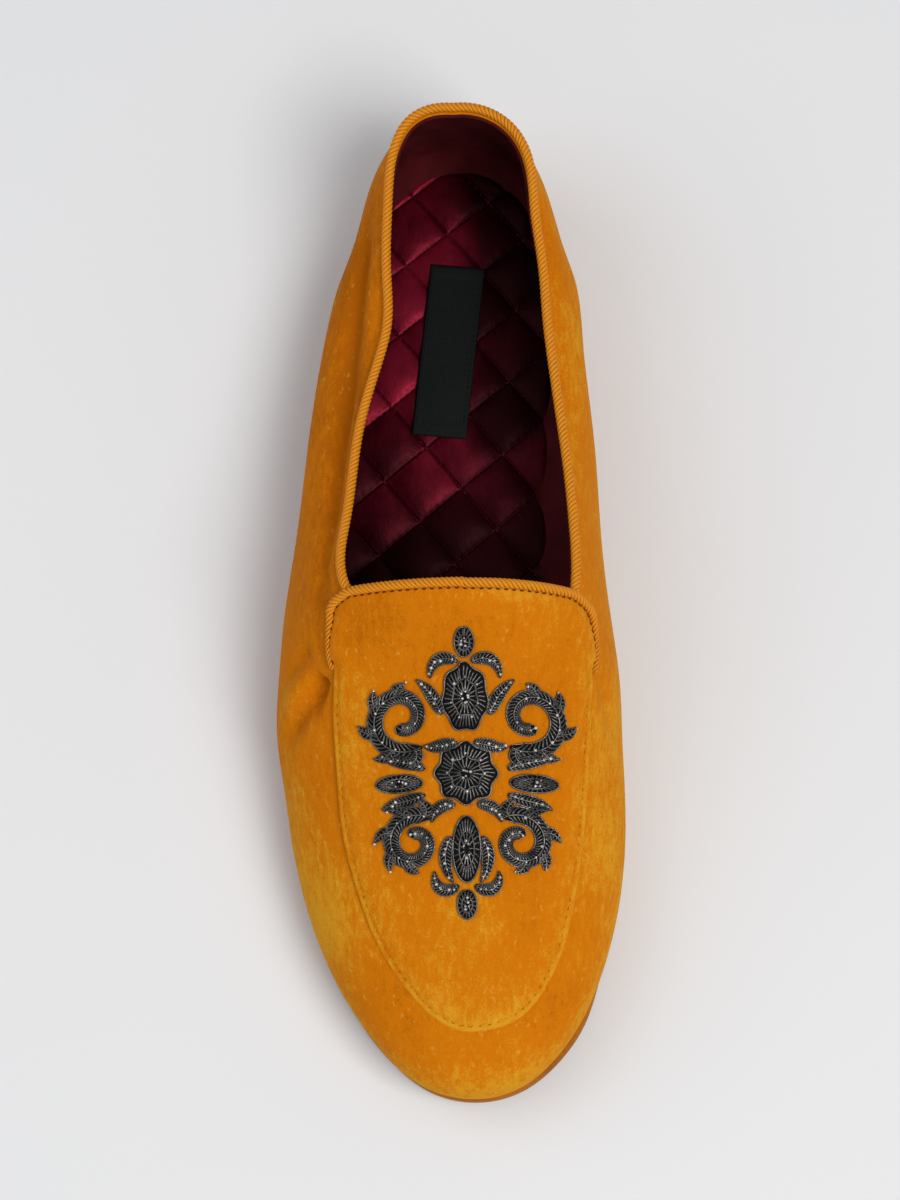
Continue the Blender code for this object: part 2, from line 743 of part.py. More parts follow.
def add_scroll(scroll, side, collection):
    """Make one spiral cord of bullion wire on the apron."""
    run = np.linspace(0, 1, SCROLL_STEPS)
    angle = np.radians(scroll.start + 360 * scroll.turns * run)
    radius = scroll.radius * (1 - (1 - INNER_CURL) * run)
    beside = side * (scroll.beside + radius * np.cos(angle))
    above = scroll.above + radius * np.sin(angle)
    lift = LAY_GAP + APRON_THICKNESS + MOTIF_GAP + BULLION_RADIUS
    path = motif_point(beside, above, np.full(run.shape, lift))
    name = "embroidery_" + scroll.name + "_" + SIDE_NAMES[side]
    add_cord(name, path, BULLION_RADIUS, "bullion", collection)


def add_embroidery(collection):
    """Make the raised embroidery: rosette, palmette, bud, leaves and scrolls."""
    for patch in PATCHES:
        add_patch(patch, MEDIAL, patch.name, collection)
    for side, side_name in SIDE_NAMES.items():
        add_patch(LEAF, side, LEAF.name + "_" + side_name, collection)
        for scroll in SCROLLS:
            add_scroll(scroll, side, collection)


def build():
    """Build every piece into the shoe's collection."""
    for old in list(bpy.data.objects):
        bpy.data.objects.remove(old)
    shoe = bpy.data.collections.new("velvet_slipper_loafer")
    bpy.context.scene.collection.children.link(shoe)
    add_outsole(shoe)
    add_heel(shoe)
    add_insole(shoe)
    add_label(shoe)
    add_upper(shoe)
    add_apron(shoe)
    add_collar_piping(shoe)
    add_apron_piping(shoe)
    add_heel_strip(shoe)
    add_embroidery(shoe)


build()
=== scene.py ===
"""Looks of a velvet slipper loafer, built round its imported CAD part.

Frame: metres, toe towards -Y, heel towards +Y, big-toe side +X, floor at z = 0.
"""

import logging
import math
from collections.abc import Callable, Sequence
from dataclasses import dataclass, field
from enum import Enum
from typing import Any, NamedTuple

import bmesh
import bpy
import numpy as np
from mathutils import Matrix, Vector


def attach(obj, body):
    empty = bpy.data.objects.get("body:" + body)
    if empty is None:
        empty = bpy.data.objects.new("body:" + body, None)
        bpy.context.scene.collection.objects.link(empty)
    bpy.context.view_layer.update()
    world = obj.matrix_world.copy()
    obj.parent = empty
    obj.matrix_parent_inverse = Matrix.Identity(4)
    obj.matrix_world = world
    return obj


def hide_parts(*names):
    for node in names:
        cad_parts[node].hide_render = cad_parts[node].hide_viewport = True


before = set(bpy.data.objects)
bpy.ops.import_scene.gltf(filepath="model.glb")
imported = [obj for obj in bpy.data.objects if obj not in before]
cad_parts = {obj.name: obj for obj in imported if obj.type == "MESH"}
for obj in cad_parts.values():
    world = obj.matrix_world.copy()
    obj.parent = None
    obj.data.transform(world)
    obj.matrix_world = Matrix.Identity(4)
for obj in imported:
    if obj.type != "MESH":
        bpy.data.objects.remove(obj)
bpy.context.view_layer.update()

LOG = logging.getLogger("slipper")
BODY = "root"
STITCH_STEPS = 5
STITCH_SIDES = 5

Array = np.ndarray
Colour = tuple[float, float, float]


# Shader maths


class Value:
    """One output of a shader node, so that maths on it is written as an expression."""

    def __init__(self, graph: "Graph", socket: bpy.types.NodeSocket) -> None:
        """Keep the graph and the socket."""
        self.graph = graph
        self.socket = socket

    def _maths(self, operation: str, *terms: "Value | float") -> "Value":
        """Return the result of a Math node on the terms."""
        return self.graph.node("ShaderNodeMath", {"operation": operation}, dict(enumerate(terms)))

    def __add__(self, other: "Value | float") -> "Value":
        """Add."""
        return self._maths("ADD", self, other)

    __radd__ = __add__

    def __sub__(self, other: "Value | float") -> "Value":
        """Take away."""
        return self._maths("SUBTRACT", self, other)

    def __rsub__(self, other: float) -> "Value":
        """Take this away from a number."""
        return self._maths("SUBTRACT", other, self)

    def __mul__(self, other: "Value | float") -> "Value":
        """Multiply."""
        return self._maths("MULTIPLY", self, other)

    __rmul__ = __mul__

    def least(self, other: "Value | float") -> "Value":
        """Return the lesser of two values."""
        return self._maths("MINIMUM", self, other)

    def sine(self) -> "Value":
        """Return the sine."""
        return self._maths("SINE", self)

    def size(self) -> "Value":
        """Return the absolute value."""
        return self._maths("ABSOLUTE", self)

    def held(self, low: float = 0.0, high: float = 1.0) -> "Value":
        """Return the value kept between two limits."""
        return self._maths("MAXIMUM", self, low).least(high)


class Graph:
    """The node tree of one material."""

    def __init__(self, name: str, preview: Colour) -> None:
        """Make a material with a Principled shader.

        Args:
            name: name of the material.
            preview: colour that stands for it in a plain view.
        """
        self.material = bpy.data.materials.new(name)
        self.material.use_nodes = True
        self.material.diffuse_color = (*preview, 1.0)
        self.tree = self.material.node_tree
        self.shader = self.tree.nodes["Principled BSDF"]

    def node(
        self,
        kind: str,
        settings: dict[str, Any],
        values: dict[int | str, Any],
        output: int | str = 0,
    ) -> Value:
        """Make a node, set it and feed it.

        Args:
            kind: the node's type.
            settings: properties, which are set first.
            values: number, colour or Value for each input, by name or place.
            output: name or place of the output.

        Returns:
            The output as a Value.
        """
        made = self.tree.nodes.new(kind)
        for key, setting in settings.items():
            setattr(made, key, setting)
        for key, value in values.items():
            self._feed(made.inputs[key], value)
        return Value(self, made.outputs[output])

    def _feed(self, socket: bpy.types.NodeSocket, value: Any) -> None:
        """Link a Value to a socket, or set the socket's own number."""
        if isinstance(value, Value):
            self.tree.links.new(value.socket, socket)
        else:
            socket.default_value = value

    def place(self) -> Value:
        """Return the Object coordinates, in metres."""
        return self.node("ShaderNodeTexCoord", {}, {}, "Object")

    def attribute(self, name: str) -> Value:
        """Return a number kept on the mesh."""
        return self.node("ShaderNodeAttribute", {"attribute_name": name}, {}, "Fac")

    def pattern(self) -> Value:
        """Return the piece's own UV map as a vector."""
        return self.node("ShaderNodeUVMap", {"uv_map": "weave"}, {}, "UV")

    def parts(self, vector: Value) -> tuple[Value, Value, Value]:
        """Return the three parts of a vector."""
        split = self.node("ShaderNodeSeparateXYZ", {}, {0: vector}, 0)
        outputs = split.socket.node.outputs
        return split, Value(self, outputs[1]), Value(self, outputs[2])

    def stretched(self, vector: Value, scale: Colour) -> Value:
        """Return a vector with each part scaled."""
        return self.node("ShaderNodeMapping", {}, {"Vector": vector, "Scale": scale})

    def noise(self, vector: Value, scale: float, detail: float = 3.0, rough: float = 0.55) -> Value:
        """Return noise of a scale, from 0 to 1."""
        values = {"Vector": vector, "Scale": scale, "Detail": detail, "Roughness": rough}
        return self.node("ShaderNodeTexNoise", {}, values, 0)

    def ramp(self, value: Value, low: float, high: float) -> Value:
        """Return 0 below low and 1 above high, smooth between."""
        values = {"Value": value, "From Min": low, "From Max": high}
        return self.node("ShaderNodeMapRange", {"interpolation_type": "SMOOTHSTEP"}, values, 0)

    def mixed(self, share: Value | float, first: Any, second: Any) -> Value:
        """Return a colour between two colours."""
        ends = [(*end, 1.0) if isinstance(end, tuple) else end for end in (first, second)]
        return self.node("ShaderNodeMix", {"data_type": "RGBA"}, {0: share, 6: ends[0], 7: ends[1]}, 2)

    def bump(self, height: Value, distance: float, strength: float = 1.0) -> Value:
        """Return a normal bent by a height, with the distance in metres."""
        values = {"Height": height, "Distance": distance, "Strength": strength}
        return self.node("ShaderNodeBump", {}, values, 0)

    def dress(self, **sockets: Any) -> bpy.types.Material:
        """Feed the shader's sockets, with _ for a space in a name, and return the material."""
        for name, value in sockets.items():
            full = name.replace("_", " ")
            self._feed(self.shader.inputs[full], (*value, 1.0) if isinstance(value, tuple) else value)
        return self.material


# Finishes


@dataclass(frozen=True)
class Velvet:
    """Cut pile cotton velvet, with brushed patches, lint and a grazing sheen."""

    name: str
    deep: Colour = (0.42, 0.108, 0.0006)
    body: Colour = (0.580, 0.163, 0.0012)
    light: Colour = (0.65, 0.295, 0.013)
    lint: Colour = (0.78, 0.44, 0.07)
    sheen: Colour = (1.0, 0.55, 0.05)
    pile_scale: float = 1500.0
    brushed_scale: float = 34.0
    fleck_scale: float = 560.0
    lint_scale: float = 620.0

    def make(self) -> bpy.types.Material:
        """Return the material: brushed patches and flecks mix three shades; fine noise raises the pile."""
        g = Graph(self.name, self.body)
        at = g.place()
        brushed = g.noise(g.stretched(at, (1.0, 0.5, 1.0)), self.brushed_scale, 4.0, 0.62)
        fleck = g.noise(g.stretched(at, (1.0, 0.35, 1.0)), self.fleck_scale, 3.0, 0.65)
        pile = g.noise(at, self.pile_scale, 2.0, 0.7)
        # the mesh's painted light and shading moves the tone, along with the random brushed patches, flecks
        # and pile
        shade = g.attribute("shade")
        tone = (brushed - 0.5) * 0.95 + (fleck - 0.5) * 0.72 + (pile - 0.5) * 0.50 + shade * 0.5 + 0.50
        dark = g.mixed(g.ramp(tone, 0.05, 0.50), self.deep, self.body)
        colour = g.mixed(g.ramp(tone, 0.50, 0.92), dark, self.light)
        specks = g.noise(g.stretched(at, (1.0, 0.55, 1.0)), self.lint_scale, 2.0, 0.5)
        colour = g.mixed(g.ramp(specks, 0.63, 0.76) * 0.30, colour, self.lint)
        height = pile * 0.6 + fleck * 0.6 + brushed * 0.9
        return g.dress(
            Base_Color=colour,
            Roughness=0.90 - fleck * 0.12,
            Normal=g.bump(height, 0.0006, 0.6),
            Sheen_Weight=0.26,
            Sheen_Roughness=0.34,
            Sheen_Tint=self.sheen,
            Specular_IOR_Level=0.05,
        )


@dataclass(frozen=True)
class Silk:
    """Twisted silk cord of the piping, with fine plies along each strand."""

    name: str
    deep: Colour = (0.40, 0.10, 0.0015)
    light: Colour = (0.72, 0.255, 0.006)
    ply_count: float = 12.0
    ply_lean: float = 700.0  # turns of a ply in a metre
    fuzz_scale: float = 900.0

    def make(self) -> bpy.types.Material:
        """Return the material: plies run round the strand's own UV map, with painted light on each strand's
        crest and painted darkening in its grooves.
        """
        g = Graph(self.name, self.light)
        along, round_it, _ = g.parts(g.pattern())
        ply = ((round_it * self.ply_count + along * self.ply_lean) * math.tau).sine() * 0.5 + 0.5
        fuzz = g.noise(g.place(), self.fuzz_scale, 2.0)
        # painted light on each strand's outer side, painted darkening in the grooves between strands
        crest_painted_light = ((round_it + 0.25) * math.tau).sine()
        tone = (ply * 0.25 + fuzz * 0.25 + g.ramp(crest_painted_light, 0.30, 0.95) * 0.5).held()
        return g.dress(
            Base_Color=g.mixed(g.ramp(tone, 0.15, 0.75), self.deep, self.light),
            Roughness=0.62 - ply * 0.14,
            Normal=g.bump(ply * 0.6 + fuzz * 0.4, 0.00012, 0.6),
            Sheen_Weight=0.08,
            Sheen_Roughness=0.4,
            Sheen_Tint=(1.0, 0.6, 0.15),
            Specular_IOR_Level=0.2,
        )


@dataclass(frozen=True)
class Satin:
    """Quilted burgundy satin: fine warp floats give a soft directional gloss."""

    name: str
    deep: Colour = (0.040, 0.0006, 0.004)
    light: Colour = (0.225, 0.009, 0.026)
    # near black of the painted shadow
    dark: Colour = (0.008, 0.0004, 0.0008)
    thread_scale: float = 3200.0
    crush_scale: float = 110.0
    seam_reach: float = 0.16

    def make(self) -> bpy.types.Material:
        """Return the material: warp floats along the shoe, slow folds of tone, painted darkening along the
        seams and the mesh's painted light and shadow.
        """
        g = Graph(self.name, self.light)
        at = g.place()
        floats = g.noise(g.stretched(at, (1.0, 0.08, 1.0)), self.thread_scale, 2.0)
        crush = g.noise(g.stretched(at, (1.0, 0.7, 1.0)), self.crush_scale, 4.0, 0.6)
        first, second, _ = g.parts(g.pattern())
        # near is 0 on a seam line, where the tone gets painted darkening for the quilt's grooves
        near = (first * math.pi).sine().size().least((second * math.pi).sine().size())
        seam = g.ramp(near, 0.0, self.seam_reach)
        shade = g.attribute("shade")
        tone = floats * 0.20 + crush * 0.60 + shade * 0.5 + seam * 0.24 - 0.11
        cloth = g.mixed(g.ramp(tone, 0.15, 0.85), self.deep, self.light)
        return g.dress(
            # painted shadow: where the mesh's painted shading is below 0 it pulls the cloth towards near
            # black
            Base_Color=g.mixed((shade * -0.9).held(0.0, 0.8), cloth, self.dark),
            Roughness=0.36 + floats * 0.12,
            Metallic=0.45,
            Normal=g.bump(crush * 0.6 + floats * 0.1 + seam * 0.5, 0.0008, 0.6),
            Specular_IOR_Level=0.06,
        )


@dataclass(frozen=True)
class Lining:
    """Plain dark burgundy lining cloth inside the upper."""

    name: str
    deep: Colour = (0.044, 0.0030, 0.0040)
    light: Colour = (0.100, 0.0080, 0.0110)
    weave: float = 9000.0
    wear_scale: float = 70.0

    def make(self) -> bpy.types.Material:
        """Return the material: a close plain weave in two directions."""
        g = Graph(self.name, self.light)
        at = g.place()
        x, y, z = g.parts(at)
        weave = (y * self.weave).sine() * ((x + z) * self.weave).sine()
        wear = g.noise(at, self.wear_scale, 3.0)
        return g.dress(
            Base_Color=g.mixed(g.ramp(wear, 0.25, 0.8), self.deep, self.light),
            Roughness=0.72 + wear * 0.15,
            Normal=g.bump(weave * 0.3 + wear * 0.7, 0.0004, 0.35),
            Specular_IOR_Level=0.10,
        )


@dataclass(frozen=True)
class Leather:
    """Vegetable tanned sole leather, darker and smoother where it is burnished."""

    name: str
    deep: Colour = (0.25, 0.068, 0.001)
    light: Colour = (0.46, 0.155, 0.004)
    layers: float = 0.0  # thickness of a layer, 0 for a plain board
    grain_scale: float = 900.0
    patch_scale: float = 45.0
    scuff_scale: float = 600.0

    def make(self) -> bpy.types.Material:
        """Return the material: grain, scuffs and, on a stacked heel, the lines of its layers."""
        g = Graph(self.name, self.light)
        at = g.place()
        grain = g.noise(at, self.grain_scale, 4.0, 0.6)
        patch = g.noise(at, self.patch_scale, 3.0)
        scuff = g.noise(g.stretched(at, (1.0, 0.12, 1.0)), self.scuff_scale, 2.0)
        tone = patch * 0.6 + grain * 0.4
        height = grain * 0.7 + scuff * 0.3
        if self.layers:
            _, _, z = g.parts(at)
            lines = g.ramp(((z * (math.pi / self.layers)).sine()).size(), 0.0, 0.22)
            tone = tone * (lines * 0.6 + 0.4)
            height = height * 0.4 + lines * 0.6
        return g.dress(
            Base_Color=g.mixed(g.ramp(tone, 0.2, 0.8), self.deep, self.light),
            Roughness=0.36 + scuff * 0.3,
            Normal=g.bump(height, 0.0003, 0.5),
            Specular_IOR_Level=0.12,
            Coat_Weight=0.02,
            Coat_Roughness=0.35,
        )


@dataclass(frozen=True)
class Woven:
    """Close black damask of the bare label."""

    name: str
    deep: Colour = (0.002, 0.0025, 0.0028)
    light: Colour = (0.009, 0.011, 0.011)
    rib: float = 9500.0
    thread_scale: float = 2200.0

    def make(self) -> bpy.types.Material:
        """Return the material: ribs cross the label and thread noise breaks them up."""
        g = Graph(self.name, self.light)
        at = g.place()
        x, y, _ = g.parts(at)
        rib = ((y + x * 0.1) * self.rib).sine() * 0.5 + 0.5
        warp = ((x - y * 0.1) * self.rib * 0.7).sine() * 0.5 + 0.5
        thread = g.noise(at, self.thread_scale, 2.0)
        tone = rib * 0.35 + warp * 0.25 + thread * 0.4
        return g.dress(
            Base_Color=g.mixed(tone.held(), self.deep, self.light),
            Roughness=0.78 - thread * 0.2,
            Normal=g.bump(rib * 0.5 + warp * 0.5, 0.00008, 0.7),
            Specular_IOR_Level=0.14,
        )


@dataclass(frozen=True)
class Wire:
    """Bullion wire or beads: dark metal that glints where the coil turns."""

    name: str
    deep: Colour
    light: Colour
    roughness: float
    metallic: float
    tarnish_scale: float = 260.0
    grit_scale: float = 2400.0

    def make(self) -> bpy.types.Material:
        """Return the material: tarnish dulls parts of the metal."""
        g = Graph(self.name, self.light)
        at = g.place()
        tarnish = g.noise(at, self.tarnish_scale, 3.0)
        grit = g.noise(at, self.grit_scale, 2.0)
        share = g.ramp(tarnish * 0.6 + grit * 0.4, 0.3, 0.7)
        return g.dress(
            Base_Color=g.mixed(share, self.deep, self.light),
            Roughness=self.roughness + (1 - share) * 0.15,
            Metallic=self.metallic,
            Normal=g.bump(grit, 0.0001, 0.4),
        )


@dataclass(frozen=True)
class Thread:
    """Sewing thread."""

    name: str
    colour: Colour
    fibre_scale: float = 1500.0

    def make(self) -> bpy.types.Material:
        """Return the material: a slightly glossy thread of uneven tone."""
        g = Graph(self.name, self.colour)
        tone = g.noise(g.place(), self.fibre_scale, 2.0)
        darker = tuple(part * 0.6 for part in self.colour)
        return g.dress(
            Base_Color=g.mixed(tone, darker, self.colour),
            Roughness=0.75 + tone * 0.1,
            Specular_IOR_Level=0.1,
        )


class Finish(Enum):
    """The finishes of the shoe."""

    VELVET = Velvet("velvet")
    SILK = Silk("silk_cord")
    SATIN = Satin("satin")
    LINING = Lining("lining")
    SOLE = Leather("sole_leather")
    STACK = Leather("heel_stack", layers=0.003)
    LABEL = Woven("label_cloth")
    BULLION = Wire("bullion", (0.022, 0.022, 0.023), (0.165, 0.160, 0.150), 0.25, 0.75)
    PURL = Wire("pale_purl", (0.040, 0.038, 0.036), (0.24, 0.23, 0.21), 0.26, 0.8)
    BEAD = Wire("bead", (0.26, 0.255, 0.25), (0.80, 0.79, 0.77), 0.12, 0.5)
    GOLD_THREAD = Thread("seam_thread", (0.42, 0.125, 0.002))
    RED_THREAD = Thread("quilt_thread", (0.16, 0.012, 0.026))
    # dark thread of the tab's stitches, which also paints the shadow line where the tab's piping meets the
    # velvet
    SHADOW_THREAD = Thread("tab_shadow_thread", (0.11, 0.030, 0.003))
    FELT = Thread("padding_felt", (0.010, 0.009, 0.009))
    DARK_THREAD = Thread("label_thread", (0.012, 0.013, 0.014))


class Shelf:
    """Makes each finish once and hands it out again."""

    def __init__(self) -> None:
        """Start with no material made."""
        self._made: dict[Finish, bpy.types.Material] = {}

    def take(self, finish: Finish) -> bpy.types.Material:
        """Return the material of a finish."""
        if finish not in self._made:
            self._made[finish] = finish.value.make()
        return self._made[finish]


SHELF = Shelf()


# Surfaces


def grid_quads(rows: int, columns: int, wrap_rows: bool = False, wrap_columns: bool = False) -> Array:
    """Return the quads that join neighbours in a grid of points, closed round when asked."""
    i = np.arange(rows if wrap_rows else rows - 1)[:, None]
    j = np.arange(columns if wrap_columns else columns - 1)[None, :]
    over = (i + 1) % rows
    beside = (j + 1) % columns
    corners = (i * columns + j, over * columns + j, over * columns + beside, i * columns + beside)
    return np.stack(np.broadcast_arrays(*corners), -1).reshape(-1, 4)


def unit(vectors: Array) -> Array:
    """Return vectors scaled to length 1."""
    return vectors / np.maximum(np.linalg.norm(vectors, axis=-1, keepdims=True), 1e-12)


def grid_normals(grid: Array, wrap: bool = False) -> Array:
    """Return a grid's unit normals, the cross product of its two runs.

    Args:
        grid: points, rows by columns by 3.
        wrap: True where the last row meets the first.

    Returns:
        Normals of the same shape, rows crossed with columns.
    """
    padded = np.concatenate([grid[-1:], grid, grid[:1]]) if wrap else grid
    across = np.gradient(padded, axis=0)
    along = np.gradient(padded, axis=1)
    normals = unit(np.cross(across, along))
    return normals[1:-1] if wrap else normals


def shell(outer: Array, inner: Array, wrap: bool = False) -> tuple[Array, Array]:
    """Return points and quads of a closed shell between two grids of the same shape.

    Each row's outer points and its inner ones, turned round, make one ring; rings are joined, and
    where the rows don't close round, a strip of quads closes each end.
    """
    rows, columns = outer.shape[:2]
    ring = np.concatenate([outer, inner[:, ::-1]], axis=1)
    quads = [grid_quads(rows, 2 * columns, wrap, True)]
    if not wrap:
        j = np.arange(columns - 1)
        far = 2 * columns - 1 - j
        for row in (0, rows - 1):
            start = row * 2 * columns
            quads.append(np.stack([j, j + 1, far - 1, far], -1) + start)
    return ring.reshape(-1, 3), np.concatenate(quads)


def tubes(centres: Array, ups: Array, radii: Array, sides: int = 8) -> tuple[Array, Array]:
    """Return points and quads of many round tubes at once.

    A ring of points stands round each centre, in the plane across the tube's run.

    Args:
        centres: tubes by steps by 3.
        ups: a direction to measure the rings from, of the same shape.
        radii: radius at each step, tubes by steps or one row for all.
        sides: points in a ring.

    Returns:
        Points and quads of all the tubes, which end in a point where the radius is 0.
    """
    run = unit(np.gradient(centres, axis=1))
    side = unit(np.cross(run, ups))
    up = np.cross(side, run)
    turn = np.arange(sides) * math.tau / sides
    ring = np.cos(turn)[:, None] * up[..., None, :] + np.sin(turn)[:, None] * side[..., None, :]
    points = centres[..., None, :] + ring * np.broadcast_to(radii, centres.shape[:2])[..., None, None]
    count, steps = centres.shape[:2]
    quads = grid_quads(steps, sides, False, True)
    starts = np.arange(count)[:, None, None] * steps * sides
    return points.reshape(-1, 3), (quads[None] + starts).reshape(-1, 4)


def rounded(value: Array) -> Array:
    """Return a quarter circle: 0 at a value of 0, rising steeply at first, and 1 from a value of 1."""
    return np.sqrt(np.maximum(1 - (1 - np.clip(value, 0, 1)) ** 2, 0))


def rounded_ends(steps: int, share: float) -> Array:
    """Return a radius profile that rises from 0 as a quarter circle, stays 1 and falls again."""
    run = np.linspace(0, 1, steps)
    return rounded(np.minimum(run, 1 - run) / share)


def bell(value: Array, middle: float, width: float) -> Array:
    """Return a bell curve: 1 at the middle, and about a third at a width from it."""
    return np.exp(-(((value - middle) / width) ** 2))


def beside_line(line: Array) -> Array:
    """Return the unit directions a quarter turn to the left of a plan line's run."""
    run = np.gradient(line, axis=0)
    return unit(np.stack([-run[:, 1], run[:, 0]], -1))


def both_faces(shade: Array) -> Array:
    """Return the painted shading of a shell's outer points and of its inner ones, in the order of its rings.
    """
    return np.concatenate([shade, shade[:, ::-1]], axis=1)


def smooth(value: Array, low: float, high: float) -> Array:
    """Return 0 at low and 1 at high, with a smooth step between."""
    t = np.clip((value - low) / (high - low), 0, 1)
    return t * t * (3 - 2 * t)


def line_length(path: Array) -> Array:
    """Return the distance run along a path at each of its points."""
    steps = np.linalg.norm(np.diff(path, axis=0), axis=1)
    return np.concatenate([[0.0], np.cumsum(steps)])


def walk(path: Array, places: Array) -> Array:
    """Return the points at given distances along a path, on straight lines between its points."""
    run = line_length(path)
    return np.stack([np.interp(places, run, path[:, k]) for k in range(path.shape[1])], -1)


def distance_to(points: Array, line: Array) -> tuple[Array, Array]:
    """Return each point's distance from a line of points, and the share of the line it is beside."""
    run = line_length(line) / line_length(line)[-1]
    best = np.full(points.shape[:-1], np.inf)
    where = np.zeros(points.shape[:-1])
    for a, b, start, end in zip(line[:-1], line[1:], run[:-1], run[1:]):
        t = np.clip(((points - a) @ (b - a)) / max(((b - a) ** 2).sum(), 1e-12), 0, 1)
        gap = np.linalg.norm(points - (a + t[..., None] * (b - a)), axis=-1)
        nearer = gap < best
        best = np.where(nearer, gap, best)
        where = np.where(nearer, start + t * (end - start), where)
    return best, where


def without_repeats(quads: Array) -> list[list[int]]:
    """Return faces as lists, where a quad that names a point twice running becomes a triangle."""
    same = quads == np.roll(quads, -1, axis=1)
    narrow = same.any(axis=1)
    triangles = [row[~twice].tolist() for row, twice in zip(quads[narrow], same[narrow])]
    return quads[~narrow].tolist() + triangles


def add_piece(
    name: str,
    solid: tuple[Array, Array],
    finish: Finish,
    replaced: Sequence[str] = (),
    shade: Array | None = None,
    uv: Array | None = None,
) -> bpy.types.Object:
    """Make a piece from points and quads, weld it, turn its faces out and let it ride.

    Args:
        name: name of the piece.
        solid: points and quads of closed surfaces.
        finish: its finish.
        replaced: CAD nodes that it stands for.
        shade: painted light and shading, a number for each point, kept as the attribute "shade".
        uv: two numbers for each corner of the quads, kept as the UV map "weave".

    Returns:
        The object, at the origin.
    """
    points, quads = solid
    mesh = bpy.data.meshes.new(name)
    mesh.from_pydata(points, [], without_repeats(quads))
    # painted light and shading, kept on the mesh for the materials to read
    tone = mesh.attributes.new("shade", "FLOAT", "POINT")
    tone.data.foreach_set("value", np.zeros(len(points)) if shade is None else shade.ravel())
    if uv is not None:
        layer = mesh.uv_layers.new(name="weave")
        layer.data.foreach_set("uv", uv.ravel())
    work = bmesh.new()
    work.from_mesh(mesh)
    bmesh.ops.remove_doubles(work, verts=work.verts, dist=1e-6)
    bmesh.ops.recalc_face_normals(work, faces=work.faces)
    work.to_mesh(mesh)
    work.free()
    mesh.shade_smooth()
    mesh.materials.append(SHELF.take(finish))
    piece = bpy.data.objects.new(name, mesh)
    bpy.context.scene.collection.objects.link(piece)
    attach(piece, BODY)
    if replaced:
        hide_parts(*replaced)
    LOG.info("%s: %d faces", name, len(mesh.polygons))
    return piece


# The last


class Side(Enum):
    """The two sides of the shoe, with the sign of x."""

    LATERAL = -1
    MEDIAL = 1


SOLE_OUTLINE = {
    "s": (
        *(0, 0.02, 0.06, 0.12, 0.18, 0.26, 0.35, 0.45, 0.54),
        *(0.62, 0.68, 0.75, 0.81, 0.87, 0.92, 0.96, 0.99, 1),
    ),
    "lat": (
        *(0.06, -0.28, -0.44, -0.53, -0.58, -0.62, -0.67, -0.74, -0.83),
        *(-0.89, -0.88, -0.81, -0.73, -0.635, -0.50, -0.32, -0.10, 0.153),
    ),
    "med": (
        *(0.06, 0.37, 0.54, 0.64, 0.66, 0.62, 0.56, 0.56, 0.67),
        *(0.82, 0.91, 0.94, 0.925, 0.857, 0.767, 0.614, 0.40, 0.153),
    ),
}
LAST_SECTIONS = {
    "s": (
        *(0, 0.02, 0.06, 0.115, 0.18, 0.26, 0.35, 0.45, 0.53, 0.58),
        *(0.64, 0.69, 0.75, 0.81, 0.87, 0.92, 0.96, 0.99, 1),
    ),
    "lat": (
        *(0.06, -0.290, -0.455, -0.545, -0.644, -0.737, -0.817, -0.893, -0.955, -0.978),
        *(-0.985, -0.935, -0.866, -0.770, -0.640, -0.480, -0.305, -0.095, 0.153),
    ),
    "med": (
        *(0.06, 0.400, 0.572, 0.668, 0.757, 0.807, 0.861, 0.896, 0.950, 0.985),
        *(0.997, 1.0, 0.985, 0.936, 0.850, 0.735, 0.585, 0.385, 0.153),
    ),
    "swell_lat": (
        *(1, 1, 1, 0.96, 0.94, 0.94, 0.99, 1.08, 1.12, 1.06),
        *(0.99, 0.93, 0.86, 0.79, 0.72, 0.66, 0.60, 0.56, 0.55),
    ),
    "swell_med": (
        *(1, 1, 1, 1.04, 1.18, 1.30, 1.34, 1.23, 1.12, 1.06),
        *(0.99, 0.93, 0.86, 0.79, 0.72, 0.66, 0.60, 0.56, 0.55),
    ),
    "vamp_lat": (
        *(0.75, 0.66, 0.58, 0.495, 0.43, 0.405, 0.47, 0.61, 0.715, 0.645),
        *(0.562, 0.505, 0.45, 0.395, 0.332, 0.262, 0.185, 0.092, 0),
    ),
    "vamp_med": (
        *(0.75, 0.82, 0.75, 0.60, 0.505, 0.455, 0.50, 0.67, 0.715, 0.645),
        *(0.562, 0.505, 0.45, 0.395, 0.332, 0.262, 0.185, 0.092, 0),
    ),
    "ridge": (
        *(0.06, 0.06, 0.06, 0.05, 0.04, 0.035, 0.05, 0.09, 0.13, 0.12),
        *(0.10, 0.09, 0.09, 0.10, 0.12, 0.135, 0.145, 0.15, 0.153),
    ),
}
COLLAR_LINE = {
    "s": (0, 0.04, 0.09, 0.15, 0.23, 0.31, 0.39, 0.46, 0.53),
    "lat": (1, 0.985, 0.93, 0.88, 0.855, 0.85, 0.88, 0.945, 1.035),
    "med": (1, 0.99, 0.95, 0.91, 0.885, 0.875, 0.885, 0.905, 0.93),
}
APRON_LINE = {
    "s": (0.53, 0.536, 0.546, 0.562, 0.58, 0.596, 0.62, 0.66, 0.73, 0.81, 0.87, 0.907, 0.93, 0.943),
    "lat": (0.575, 0.635, 0.66, 0.675, 0.67, 0.65, 0.65, 0.66, 0.685, 0.67, 0.61, 0.50, 0.35, 0),
    "med": (0.70, 0.77, 0.805, 0.825, 0.82, 0.805, 0.80, 0.785, 0.765, 0.745, 0.71, 0.63, 0.48, 0),
}
Table = dict[str, tuple[float, ...]]
Curve = Callable[[Any], Any]


